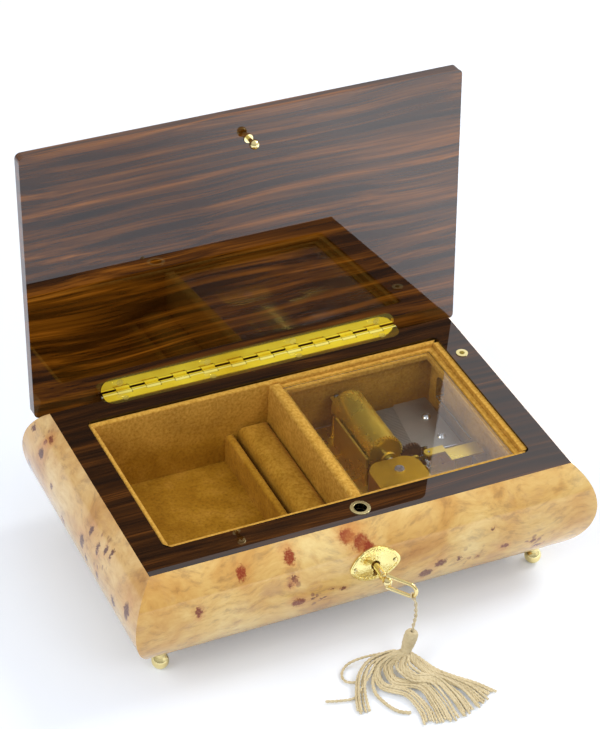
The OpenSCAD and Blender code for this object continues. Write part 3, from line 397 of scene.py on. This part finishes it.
# Each hank follows a line of places, in mm from the rim's middle and above the table. The
# two numbers before it are how many yarns it has and how far they part at its end.
hanks = [
    (6, 6, [(0, -163, 7.6), (-8.8, -166, 5), (-9.6, -175, 2.4),
            (-1, -184, 2.6), (1.5, -196, 1.7), (0.5, -204, 0.9)]),
    (7, 7, [(3, -164.5, 7.6), (-3.6, -167.5, 6), (-3.5, -175.5, 3.8),
            (7, -182.5, 3.6), (9.5, -194, 1.9), (9, -206, 0.9)]),
    (7, 8, [(5, -165.6, 7), (1.2, -170.5, 6.2), (4.6, -177.5, 4.4),
            (13.5, -182, 3.8), (17, -193, 2), (17.5, -205.5, 0.9)]),
    (6, 8, [(7, -166, 7), (5.5, -171.5, 5.8), (10, -178.5, 4.2),
            (18, -183.5, 3), (23, -193, 2), (24.5, -203.5, 0.9)]),
    (6, 7, [(8.8, -166, 7), (10.5, -170.5, 5.6), (14.5, -176.5, 3.8),
            (21.5, -183.5, 2.6), (28, -192, 1.8), (31, -200.5, 0.9)]),
    (4, 5, [(9.5, -163.6, 7), (13, -167.5, 5.2), (17.5, -175, 3.2),
            (24, -182, 2), (31.5, -189.6, 1.3), (37, -197.6, 0.9)]),
    (6, 7, [(1, -161.5, 8), (-9.5, -161.5, 6), (-16.5, -166.5, 4),
            (-20.5, -173.5, 2.4), (-23, -180, 1.6), (-24.5, -186, 0.9)]),
    (1, 1, [(-3, -159.5, 7.6), (-12.5, -155.5, 4.2), (-19.5, -155.5, 2.2),
            (-23.8, -159.6, 1.2), (-23.8, -164.5, 1.1), (-19.5, -168, 2.2)]),
    (1, 1, [(-6, -163, 7), (-14, -168.5, 4), (-20, -173, 2.2),
            (-25, -176.2, 1), (-32, -175.2, 0.9), (-38.6, -173, 0.9)]),
    (2, 1.8, [(-2, -164, 7), (-11, -168, 3.6), (-14.4, -176, 1.4),
              (-13.2, -184, 1), (-10, -191, 0.9), (-4.4, -195, 0.9)]),
]
skirt_thread_r = 0.46
lying_low = 0.82                                # the least height of a yarn's middle
high_pile, low_pile, pile_edge = 0.9, 0.45, 1.5
root_spread = 0.25                              # how far a hank is apart at its start
side_play, end_play = 0.14, 1.3                 # how uneven the yarns of a hank are
least_heap, most_heap = -0.6, 1.0
chance = random.Random(7)
floor_z = -rim_high.z / MM
skirt_lines = []
for count, part, line in hanks:
    for i in range(count):
        side = (i + 0.5) / count - 0.5 + chance.uniform(-side_play, side_play)
        pile = chance.uniform(least_heap, most_heap)
        shift = chance.uniform(-end_play, end_play)
        root = 2 * math.pi * chance.random()
        route = [around(root, 1.2, 0.4), around(root, 1.5, -1.0)]
        for k, (x, y, up) in enumerate(line):
            share = (k + 1) / len(line)
            back = Vector(line[max(k - 1, 0)])
            ahead = Vector(line[min(k + 1, len(line) - 1)])
            flank = (ahead - back).cross(Vector((0, 0, 1))).normalized()
            if len(line) * share > len(line) - 1 and count > 1:
                x, y = Vector((x, y)) + shift * (ahead - back).normalized().xy
            place = Vector((x, y, 0)) - part * side * (root_spread + (1 - root_spread) * share) * flank
            heap = high_pile if up > pile_edge else low_pile
            place.z = floor_z + max(lying_low, up + heap * pile)
            route.append(at(*place))
        skirt_lines += two_ply(smooth_route(route, 8))
tassel_skirt = thread("tassel_skirt_yarns", skirt_lines, skirt_thread_r * MM, silk)

for piece, stands_for in ((tassel_head, "tassel_head"), (tassel_skirt, "tassel_skirt")):
    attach(piece, "case")
    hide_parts(stands_for)


# ---------------------------------------------------------------- burl panels
# Four boards, curved outwards and mitred, are faced with pale burl veneer that is full of
# small eyes and a few red-brown knots. A thick clear lacquer is polished over it.
keen_angle = math.radians(38)
flat_angle = math.radians(0.4)
weld = 2e-6


def add_piece(mesh, name, look, *stands_for, body=None, slot=None):
    """Makes a piece of a bmesh, smooth but for its keen edges, in place of those nodes."""
    for face in mesh.faces:
        face.smooth = True
    for edge in mesh.edges:
        edge.smooth = edge.calc_face_angle(0) < keen_angle
    made = bpy.data.objects.new(name, bpy.data.meshes.new(name))
    mesh.to_mesh(made.data)
    mesh.free()
    made.data.materials.append(look)
    bpy.context.scene.collection.objects.link(made)
    flat_faces = made.modifiers.new("flat_faces", "WEIGHTED_NORMAL")
    flat_faces.weight = 100
    flat_faces.keep_sharp = True
    first = frame["nodes"][stands_for[0]] if stands_for else None
    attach(made, body or first["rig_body"])
    if stands_for:
        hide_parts(*stands_for)
    return made


def merged_copy(name):
    """A bmesh copy of a node, with its loose triangles joined into whole faces."""
    mesh = bmesh.new()
    mesh.from_mesh(frame["nodes"][name].data)
    bmesh.ops.remove_doubles(mesh, verts=mesh.verts, dist=weld)
    bmesh.ops.dissolve_limit(mesh, angle_limit=flat_angle, verts=mesh.verts, edges=mesh.edges)
    return mesh


def keen_edges(mesh):
    """The edges that are sharp enough to need easing."""
    return [e for e in mesh.edges if e.is_manifold and e.calc_face_angle(0) > keen_angle]


def ease_edges(mesh, edges, ease, steps):
    """Rounds these edges by this many mm."""
    bmesh.ops.bevel(mesh, geom=edges, offset=ease * MM, offset_type="OFFSET", affect="EDGES",
                    segments=steps, profile=0.5, material=-1, clamp_overlap=True)


def eased(name, look, ease, steps=2):
    """Puts a copy with its sharp edges rounded by this many mm in place of a node."""
    mesh = merged_copy(name)
    ease_edges(mesh, keen_edges(mesh), ease, steps)
    add_piece(mesh, name + "_fine", look, name)


# Each panel swells by 11 mm at 24 mm below the rim's top, on one arc above that line and
# another below it.
bulge_out, bulge_depth = 11.0, 24.0
upper_arc, lower_arc = 31.68, 38.03


def swell(z):
    """How far the panels stand out at this height, in mm."""
    arc = upper_arc if z > -bulge_depth else lower_arc
    return bulge_out - arc + math.sqrt(max(0.0, arc ** 2 - (z + bulge_depth) ** 2))


def on_front(x, z):
    """The place on the front panel at this width and height."""
    return at(x, rim_low.y / MM - rim_high.y / MM - swell(z), z)


def on_left(y, z):
    """The place on the left panel at this depth and height."""
    return at(rim_low.x / MM - swell(z), y, z)


def on_right(y, z):
    """The place on the right panel at this depth and height."""
    place = on_left(y, z)
    place.x = -place.x
    return place


def on_back(x, z):
    """The place on the back panel at this width and height."""
    return at(x, swell(z), z)


# Knots: where each is, its half width and half height in mm, and how red it is.
front_knots = [
    (on_front(-12.5, -4), 3.2, 3.2, 1.0), (on_front(-6, -8), 3.6, 4.2, 1.0),
    (on_front(-2.5, -11), 2.4, 3.2, 1.0), (on_front(-42.5, -6), 2.4, 4.6, 1.0),
    (on_front(-67, -7), 2.0, 5.2, 1.0), (on_front(-43.5, -18.5), 1.3, 1.5, 0.4),
    (on_front(-41, -17), 1.2, 1.4, 0.4), (on_front(-42, -15.5), 1.1, 1.2, 0.4),
    (on_front(-39, -31), 3.0, 2.2, 0.6), (on_front(-31.6, -31.6), 1.0, 0.8, 0.1),
    (on_front(-29.5, -31), 0.7, 0.6, 0.1), (on_front(-25.9, -33), 1.6, 0.8, 0.1),
    (on_front(-21.7, -28), 0.9, 0.7, 0.1), (on_front(-15.9, -30), 1.3, 1.0, 0.3),
    (on_front(29, -37), 3.3, 3.0, 0.35), (on_front(36, -31.6), 2.6, 2.4, 0.35),
    (on_front(46, -32), 1.2, 1.8, 0.3), (on_front(51.4, -33.5), 0.7, 0.6, 0.2),
    (on_front(56.5, -35), 0.8, 1.0, 0.3), (on_front(71, -32), 1.9, 1.5, 0.5),
    (on_front(87, -34.7), 1.5, 1.4, 0.4), (on_front(91, -40), 2.0, 1.2, 0.3),
    (on_front(62.7, -18.5), 1.0, 0.8, 0.2), (on_front(-90, -20), 1.5, 2.2, 0.6)]
left_knots = [
    (on_left(3.5, -9), 1.6, 2.0, 0.1), (on_left(-13.5, -5), 1.8, 1.8, 0.5),
    (on_left(-11, -8), 1.2, 1.3, 0.5), (on_left(-12, -13.3), 2.2, 2.6, 0.0),
    (on_left(2, -32), 2.4, 3.6, 0.0), (on_left(-77.7, -11), 1.3, 3.4, 0.0),
    (on_left(-88.2, -13.3), 1.4, 3.2, 0.0), (on_left(-94.7, -9.8), 1.2, 3.0, 0.0),
    (on_left(-100, -7.9), 1.2, 3.2, 0.0), (on_left(-91.3, -26.9), 1.6, 2.2, 0.0),
    (on_left(-71.5, -21.6), 2.2, 3.6, 0.0), (on_left(-76.8, -28), 1.4, 2.4, 0.0),
    (on_left(-128, -19), 2.4, 4.2, 0.1), (on_left(-112, -26.4), 2.0, 2.6, 0.0),
    (on_left(-45, -30), 2.0, 2.6, 0.3), (on_left(-30, -20), 1.2, 1.6, 0.2)]
right_knots = [
    (on_right(-25, -24), 2.2, 2.6, 0.8), (on_right(-60, -14), 3.0, 4.0, 1.0),
    (on_right(-66, -20), 2.0, 2.4, 0.8), (on_right(-98, -32), 2.4, 2.0, 0.5),
    (on_right(-104, -27), 1.4, 1.6, 0.3)]
back_knots = [
    (on_back(-70, -14), 3.0, 3.6, 1.0), (on_back(-62, -20), 2.2, 2.6, 0.7),
    (on_back(-20, -36), 2.4, 2.0, 0.5), (on_back(-12, -34), 1.3, 1.5, 0.3),
    (on_back(34, -18), 2.8, 3.8, 0.9), (on_back(41, -24), 1.6, 1.8, 0.5),
    (on_back(82, -34), 2.6, 2.2, 0.4), (on_back(90, -28), 1.4, 1.6, 0.3)]

# Herds of eyes: where the middle of each is, and how far it reaches in mm.
front_herds = [(on_front(88, -36), 13), (on_front(52, -33), 10),
               (on_front(-28, -31), 12), (on_front(-42, -17), 7)]
left_herds = [(on_left(-88, -14), 17), (on_left(-12, -9), 12),
              (on_left(-118, -24), 9), (on_left(0, -25), 12)]
right_herds = [(at(121, -62, -18), 14), (at(118, -100, -32), 12)]
back_herds = [(at(-66, 10, -18), 14), (at(38, 10, -22), 14), (at(86, 9, -32), 12)]


def pushed(tree, where, drift, push):
    """The place, pushed about by the drift's colours, by up to this many metres."""
    moved = node(tree, "VectorMath", {0: drift, "Scale": push}, operation="SCALE").outputs[0]
    return node(tree, "VectorMath", {0: where, 1: moved}, operation="ADD").outputs[0]


def burl_ground(tree, bent, curl, panel_tint):
    """The veneer's pale clouds, with the curled grain and the panel's tint over them. The tint is a stain on
    three panels and painted light on the left one.
    """
    ground = ramp(tree, noise(tree, bent, 26, 5, 0.55), [
        (0.28, colour(196, 146, 86)), (0.42, colour(226, 188, 130)),
        (0.55, colour(240, 214, 166)), (0.72, colour(250, 236, 204))])
    grain = ramp(tree, curl, [
        (0.34, colour(158, 112, 64)), (0.48, colour(234, 206, 158)), (0.66, colour(253, 243, 220))])
    return mixed(tree, 1.0, mixed(tree, 0.5, ground, grain, "MULTIPLY"), panel_tint, "MULTIPLY")


def with_eyes(tree, veneer, here, bent, herds):
    """The veneer with small dark eyes in it, crowded where the herds are."""
    eyes = node(tree, "TexVoronoi", {
        "Vector": stretched(tree, bent, (1, 1, 0.5)), "Scale": 330, "Randomness": 1.0})
    dots = runs(tree, eyes.outputs["Distance"], 0.3, 0.44, 0.9, 0.0)
    herd_core = 0.35
    crowd = None
    for centre, reach in herds:
        apart = node(tree, "VectorMath", {0: here, 1: centre}, operation="DISTANCE").outputs["Value"]
        near = runs(tree, apart, herd_core * reach * MM, reach * MM, 1.0, 0.0)
        crowd = near if crowd is None else joined(tree, "MAXIMUM", crowd, near)
    some = runs(tree, noise(tree, here, 210, 1), 0.45, 0.6, 0.0, 1.0)
    dots = joined(tree, "MULTIPLY", joined(tree, "MULTIPLY", dots, crowd), some)
    return mixed(tree, dots, veneer, colour(126, 82, 60))


def with_knots(tree, veneer, here, wisp, knots):
    """The veneer with its knots: a dark ragged core in a cloudy halo."""
    fray = 0.0068
    fit = 0.8
    ragged = pushed(tree, here, noise(tree, here, 520, 6, 0.75, "Color"), fray)
    middle = Vector((fray, fray, fray)) / 2
    crumbs = runs(tree, noise(tree, here, 1100, 3, 0.6), 0.36, 0.48, 0.74, 1.0)
    cloudy = runs(tree, wisp, 0.42, 0.58, 0.25, 1.3)
    for centre, wide, tall, red in knots:
        offset = node(tree, "VectorMath", {0: ragged, 1: centre + middle}, operation="SUBTRACT").outputs[0]
        scaled = node(tree, "VectorMath", {0: offset, 1: (
            fit / (wide * MM), fit / (wide * MM), fit / (tall * MM))}, operation="MULTIPLY").outputs[0]
        size = node(tree, "VectorMath", {0: scaled}, operation="LENGTH").outputs["Value"]
        halo = joined(tree, "MULTIPLY", runs(tree, size, 1.0, 2.4, 0.5, 0.0), cloudy)
        core = joined(tree, "MULTIPLY", runs(tree, size, 0.7, 1.1, 0.96, 0.0), crumbs)
        dark = colour(86 + 50 * red, 46 - 2 * red, 30 - 24 * red)
        pale = colour(196, 142 - 14 * red, 90 - 30 * red)
        veneer = mixed(tree, core, mixed(tree, halo, veneer, pale), dark)
    return veneer


def burl(name, knots, herds, panel_tint):
    """Pale burl veneer under lacquer. The veneer of each panel has knots of its own."""
    look = finish(name, {"Roughness": 0.4, "Specular IOR Level": 0.1, "Coat Weight": 1.0,
                         "Coat Roughness": 0.02, "Coat IOR": 1.4})
    tree = look.node_tree
    here = place_of(tree)
    bent = pushed(tree, here, noise(tree, here, 22, 3, output="Color"), 0.03)
    curl = noise(tree, stretched(tree, bent, (1, 1, 2.6), (0.2, 0.5, 0)), 110, 7, 0.68)
    wisp = noise(tree, stretched(tree, bent, (1, 1, 1.7), (0.4, 0.3, 0)), 48, 8, 0.7)
    veneer = burl_ground(tree, bent, curl, panel_tint)
    veneer = mixed(tree, runs(tree, wisp, 0.54, 0.68, 0.0, 0.5), veneer, colour(176, 132, 88))
    veneer = with_eyes(tree, veneer, here, bent, herds)
    veneer = with_knots(tree, veneer, here, wisp, knots)
    tree.links.new(veneer, shader_of(look)["Base Color"])
    bump(look, curl, 0.06, 0.0002)
    return look


honey = colour(234, 226, 190)
# The left panel's paler, less yellow tint is painted light: it stands for the light that falls on that side.
left_light_tint = colour(232, 230, 220)
panel_ease = 0.3
eased("case_front", burl("front_burl", front_knots, front_herds, honey), panel_ease)
eased("case_left", burl("left_burl", left_knots, left_herds, left_light_tint), panel_ease)
eased("case_right", burl("right_burl", right_knots, right_herds, honey), panel_ease)
eased("case_back", burl("back_burl", back_knots, back_herds, honey), panel_ease)


# ---------------------------------------------------------------- rosewood rim
# The rim and the lid are faced with rosewood, with its grain along the box, under lacquer
# that is polished like a mirror. The rim is a flat frame glued on the panels.
def rosewood(name, dark, deep, mid, pale):
    """Rosewood veneer in four tones, from its dark lines to its pale ones, under lacquer."""
    look = finish(name, {"Roughness": 0.5, "Specular IOR Level": 0.0, "Coat Weight": 1.0,
                         "Coat Roughness": 0.006, "Coat IOR": 1.62})
    tree = look.node_tree
    drift = noise(tree, place_of(tree, (1, 2, 2)), 9, 1, output="Color")
    bent = pushed(tree, place_of(tree), drift, 0.012)
    band = noise(tree, stretched(tree, bent, (5, 190, 190)), 1.3, 4)
    line = noise(tree, stretched(tree, bent, (11, 900, 900)), 1.0, 4, 0.6)
    broad = ramp(tree, band, [(0.32, dark), (0.44, deep), (0.57, mid), (0.7, pale)])
    fine = ramp(tree, line, [
        (0.32, colour(120, 104, 90)), (0.48, colour(206, 196, 184)), (0.66, colour(255, 252, 244))])
    tree.links.new(mixed(tree, 0.85, broad, fine, "MULTIPLY"), shader_of(look)["Base Color"])
    return look


rim_wood = rosewood("rim_rosewood", colour(28, 15, 5), colour(42, 23, 6), colour(62, 35, 9),
                    colour(90, 53, 16))
opening_corner = 3.2
opening_steps = 6
rim_ease = 0.35
edge_margin = 8
square_angle = math.radians(80)


def opening_corners(mesh):
    """The four upright edges in the corners of the rim's opening."""
    found = []
    for edge in mesh.edges:
        a, b = (v.co for v in edge.verts)
        inside = all(low + edge_margin * MM < c < high - edge_margin * MM
                     for low, c, high in zip(rim_low.xy, a.xy, rim_high.xy))
        if (a - b).xy.length < weld / 2 and inside and edge.calc_face_angle(0) > square_angle:
            found.append(edge)
    return found


rim = merged_copy("top_rim")
ease_edges(rim, opening_corners(rim), opening_corner, opening_steps)
ease_edges(rim, keen_edges(rim), rim_ease, 3)
add_piece(rim, "top_rim_fine", rim_wood, "top_rim")

# ---------------------------------------------------------------- bottom and feet
# A plain board closes the box. It stands on four turned brass balls, each held by a steel
# screw that runs up into the case.
plain_wood = finish("plain_wood", {"Roughness": 0.6})
tree = plain_wood.node_tree
fibres = noise(tree, place_of(tree, (6, 160, 160)), 1.0, 5, 0.6)
tree.links.new(ramp(tree, fibres, [
    (0.3, colour(120, 86, 52)), (0.55, colour(158, 120, 78)), (0.75, colour(182, 146, 102))]),
    shader_of(plain_wood)["Base Color"])
bump(plain_wood, fibres, 0.3, 0.0002)
eased("bottom_board", plain_wood, 0.3)
eased("movement_board", plain_wood, 0.3)


def metal(name, tone, wear_and_lip_light, rough, wear_scale=60):
    """Polished metal whose tone and gloss change a little where it has been handled."""
    look = finish(name, {"Metallic": 1.0, "Roughness": rough})
    tree = look.node_tree
    cloud = noise(tree, place_of(tree), wear_scale, 4, 0.6)
    tree.links.new(ramp(tree, cloud, [(0.35, tone), (0.7, wear_and_lip_light)]), shader_of(look)["Base Color"])
    gloss = runs(tree, cloud, 0.3, 0.75, 0.75 * rough, 1.5 * rough)
    tree.links.new(gloss, shader_of(look)["Roughness"])
    bump(look, noise(tree, place_of(tree), 9 * wear_scale, 2), 0.05, 0.0001)
    return look


def recoat(name, look):
    """Gives a node whose shape is right as it is this look."""
    frame["nodes"][name].data.materials.clear()
    frame["nodes"][name].data.materials.append(look)


brass = metal("polished_brass", colour(250, 236, 178), colour(240, 220, 150), 0.14)
steel = metal("plain_steel", colour(206, 206, 208), colour(182, 183, 188), 0.22)
eased("ball_feet", brass, 0.15)
recoat("foot_screws", steel)

# ---------------------------------------------------------------- suede lining
# Boards covered with short-napped tan suede line the box. They stand a little below the rim,
# with rounded lips and mitred corners, and the same suede covers the floor and the divider.
suede = finish("tan_suede", {"Roughness": 0.92, "Specular IOR Level": 0.08, "Sheen Weight": 0.3,
                             "Sheen Roughness": 0.45, "Sheen Tint": colour(236, 184, 104)})
tree = suede.node_tree
here = place_of(tree)
brushed = ramp(tree, noise(tree, here, 55, 4, 0.6), [
    (0.3, colour(148, 104, 22)), (0.5, colour(168, 124, 34)), (0.7, colour(190, 144, 54))])
nap = noise(tree, here, 650, 3, 0.6)
speckled = ramp(tree, nap, [
    (0.3, colour(150, 118, 76)), (0.5, colour(230, 214, 186)), (0.7, colour(255, 250, 236))])
# Painted light: from 30 mm below the rim up to the lips the suede turns a lighter tan. It stands for the
# light that falls on the upper lining and its lips.
lit_lip_tan = ramp(tree, nap, [
    (0.34, colour(190, 140, 56)), (0.5, colour(210, 162, 74)), (0.66, colour(228, 182, 92))])
height = node(tree, "SeparateXYZ", {0: here}).outputs["Z"]
lip_light_from, lip_light_full = rim_high.z - 30 * MM, rim_high.z - 1.5 * MM
wear_and_lip_light = runs(tree, height, lip_light_from, lip_light_full, 0.0, 0.6)
tree.links.new(mixed(tree, wear_and_lip_light, mixed(tree, 0.5, brushed, speckled, "MULTIPLY"), lit_lip_tan),
               shader_of(suede)["Base Color"])
bump(suede, nap, 0.6, 0.0004)


def block(low, high):
    """A bmesh of a plain block between two corners."""
    mesh = bmesh.new()
    bmesh.ops.create_cube(mesh, size=1)
    bmesh.ops.scale(mesh, verts=mesh.verts, vec=high - low)
    bmesh.ops.translate(mesh, verts=mesh.verts, vec=(low + high) / 2)
    return mesh


def ease_top(mesh, ease, steps=4):
    """Rounds the edges round the block's top face by this many mm."""
    top = max(v.co.z for v in mesh.verts)
    ease_edges(mesh, [e for e in mesh.edges if all(v.co.z > top - weld / 2 for v in e.verts)], ease, steps)


def cut_off(mesh, corner, outward):
    """Cuts away what lies outward of an upright plane through the corner, and closes the cut."""
    bmesh.ops.bisect_plane(mesh, geom=mesh.verts[:] + mesh.edges[:] + mesh.faces[:],
                           plane_co=corner, plane_no=outward, clear_outer=True)
    bmesh.ops.edgeloop_fill(mesh, edges=[e for e in mesh.edges if e.is_boundary])


lip = 1.3


def lining_board(name, low, high, mitres):
    """A board with a rounded lip, cut at each mitre: a corner, and the way out from it."""
    mesh = block(low, high)
    ease_top(mesh, lip)
    for x, y, outward in mitres:
        cut_off(mesh, Vector((x, y, 0)), Vector((*outward, 0)))
    bmesh.ops.recalc_face_normals(mesh, faces=mesh.faces)
    add_piece(mesh, name + "_suede", suede, name)


low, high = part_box("lining_front")
lining_board("lining_front", low, high, [(low.x, low.y, (-1, 1)), (high.x, low.y, (1, 1))])
low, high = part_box("lining_back")
lining_board("lining_back", low, high, [(low.x, high.y, (-1, -1)), (high.x, high.y, (1, -1))])
low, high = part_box("lining_left")
low.y -= high.x - low.x
high.y += high.x - low.x
lining_board("lining_left", low, high, [(low.x, low.y, (1, -1)), (low.x, high.y, (1, 1))])
eased("lining_right", suede, 1.0, 3)

for name, round_top, steps in (("divider", 2.2, 5), ("ring_pad", 6.0, 6), ("ring_bar", 1.8, 6)):
    mesh = block(*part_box(name))
    ease_top(mesh, round_top, steps)
    board = add_piece(mesh, name + "_suede", suede, name)
eased("well_floor", suede, 0.4)

# ---------------------------------------------------------------- pane over the movement
# A clear plastic pane lies in a suede-covered frame, so the movement can be watched. Light
# passes through it to the movement without being bent.
eased("pane_frame", suede, 0.5, 3)
clear = finish("clear_pane", {"Base Color": (1, 1, 1, 1), "Roughness": 0.02, "IOR": 1.56,
                              "Transmission Weight": 1.0})
tree = clear.node_tree
film = ramp(tree, noise(tree, place_of(tree), 12, 2), [
    (0.3, (0.94, 0.96, 0.96, 1)), (0.7, (0.98, 0.99, 0.99, 1))])
tree.links.new(film, shader_of(clear)["Base Color"])
rays = node(tree, "LightPath").outputs
passing = node(tree, "BsdfTransparent", {"Color": (0.96, 0.97, 0.97, 1)}).outputs[0]
both = node(tree, "MixShader", {
    0: joined(tree, "MAXIMUM", rays["Is Shadow Ray"], rays["Is Diffuse Ray"]),
    1: tree.nodes["Principled BSDF"].outputs[0], 2: passing})
tree.links.new(both.outputs[0], tree.nodes["Material Output"].inputs["Surface"])
eased("clear_pane", clear, 0.3)

# ---------------------------------------------------------------- hinge
# A brass piano hinge is let into the rim and the lid: two leaves, knuckles that mesh round
# one steel pin, and countersunk brass screws.
bright_brass = metal("bright_brass", colour(246, 232, 124), colour(234, 212, 100), 0.09, 40)
screw_brass = metal("screw_brass", colour(250, 240, 176), colour(238, 220, 140), 0.22)
for name, look, ease in [
        ("hinge_base_leaf", bright_brass, 0.12), ("hinge_lid_leaf", bright_brass, 0.12),
        ("hinge_base_screws", screw_brass, 0.1), ("hinge_lid_screws", screw_brass, 0.1),
        ("hinge_pin", steel, 0.15)]:
    eased(name, look, ease)

# ---------------------------------------------------------------- lid and keeper
# The lid is one thick board, wider than the rim all round. The keeper is a turned brass
# stud in its face, which the lock's bolt takes round the neck.
lid_wood = rosewood("lid_rosewood", colour(42, 21, 2), colour(70, 38, 5), colour(104, 60, 10),
                    colour(144, 86, 20))
eased("lid", lid_wood, 0.8, 4)
eased("keeper_post", brass, 0.1)

# ---------------------------------------------------------------- lock and key
# A rim lock sits behind the front. Brass rings guard the holes in the rim, a stamped oval
# plate is nailed round the keyhole, and the key's bow folds on its shank.
stamped = metal("stamped_brass", colour(248, 234, 160), colour(232, 206, 118), 0.16)
tree = stamped.node_tree
pits = node(tree, "TexVoronoi", {"Vector": place_of(tree), "Scale": 900}).outputs["Distance"]
bump(stamped, pits, 0.3, 0.0002)
for name, look, ease in [
        ("catch_ring", brass, 0.12), ("lock_case", steel, 0.1), ("lock_bolt", brass, 0.1),
        ("escutcheon", stamped, 0.1), ("escutcheon_pins", brass, 0.06)]:
    eased(name, look, ease)

keyhole_z = -20
bead_count = 34
bead_r = 0.42
bead_proud = 0.7
bead_ring_w, bead_ring_h = 11.2, 7.1
mesh = bmesh.new()
for i in range(bead_count):
    a = 2 * math.pi * i / bead_count
    place = on_front(bead_ring_w * math.cos(a), keyhole_z + bead_ring_h * math.sin(a))
    place.y -= bead_proud * MM
    bmesh.ops.create_icosphere(mesh, subdivisions=2, radius=bead_r * MM, matrix=Matrix.Translation(place))
add_piece(mesh, "escutcheon_beads", brass, body="case", slot="brass")
pale_brass = metal("pale_brass", colour(246, 228, 168), colour(230, 206, 138), 0.14)
eased("key_stem", pale_brass, 0.1)
eased("key_bow", pale_brass, 0.1)

# ---------------------------------------------------------------- stop work
# A brass pin in the rim is pressed down by the closing lid. Its wire then catches the fan
# of the movement, and a coil spring lifts it again.
dull_brass = metal("dull_brass", colour(170, 146, 62), colour(128, 106, 40), 0.3, 300)
eased("stop_ring", brass, 0.08)
eased("stop_pin", dull_brass, 0.1)
recoat("stop_spring", steel)
recoat("stop_wire", steel)

# ---------------------------------------------------------------- movement
# The movement turns a pinned brass cylinder under a steel comb. Its spring drum is under a
# brass-plated steel cover, and a fan on a worm holds it to an even pace.
comb_steel = metal("comb_steel", colour(176, 170, 160), colour(164, 158, 148), 0.34, 30)
gold = metal("cylinder_brass", colour(236, 204, 84), colour(222, 184, 66), 0.3, 40)
shader_of(gold)["Metallic"].default_value = 0.9
cover_brass = metal("cover_brass", colour(212, 166, 46), colour(196, 148, 34), 0.32, 40)
fibre = finish("brown_fibre", {"Roughness": 0.5})
tree = fibre.node_tree
speck = noise(tree, place_of(tree), 300, 4, 0.7)
tree.links.new(ramp(tree, speck, [(0.35, colour(62, 38, 22)), (0.65, colour(96, 62, 38))]),
               shader_of(fibre)["Base Color"])
bump(fibre, speck, 0.4, 0.0002)
for name, look, ease in [
        ("bedplate", gold, 0.15), ("movement_screws", steel, 0.1), ("side_plate", gold, 0.12),
        ("cylinder_arbor", steel, 0.05), ("cylinder_bearings", gold, 0.12),
        ("bearing_screw", steel, 0.08), ("comb_screws", steel, 0.08),
        ("winding_key", brass, 0.2), ("winding_arbor", steel, 0.08),
        ("spring_cover", cover_brass, 0.6), ("cover_screw", steel, 0.08),
        ("governor_frame", gold, 0.12)]:
    eased(name, look, ease)
for name, look in [
        ("pin_cylinder", gold), ("comb", comb_steel), ("spring_drum", gold), ("mainspring", steel),
        ("train_wheel", fibre), ("governor_worm", steel)]:
    recoat(name, look)
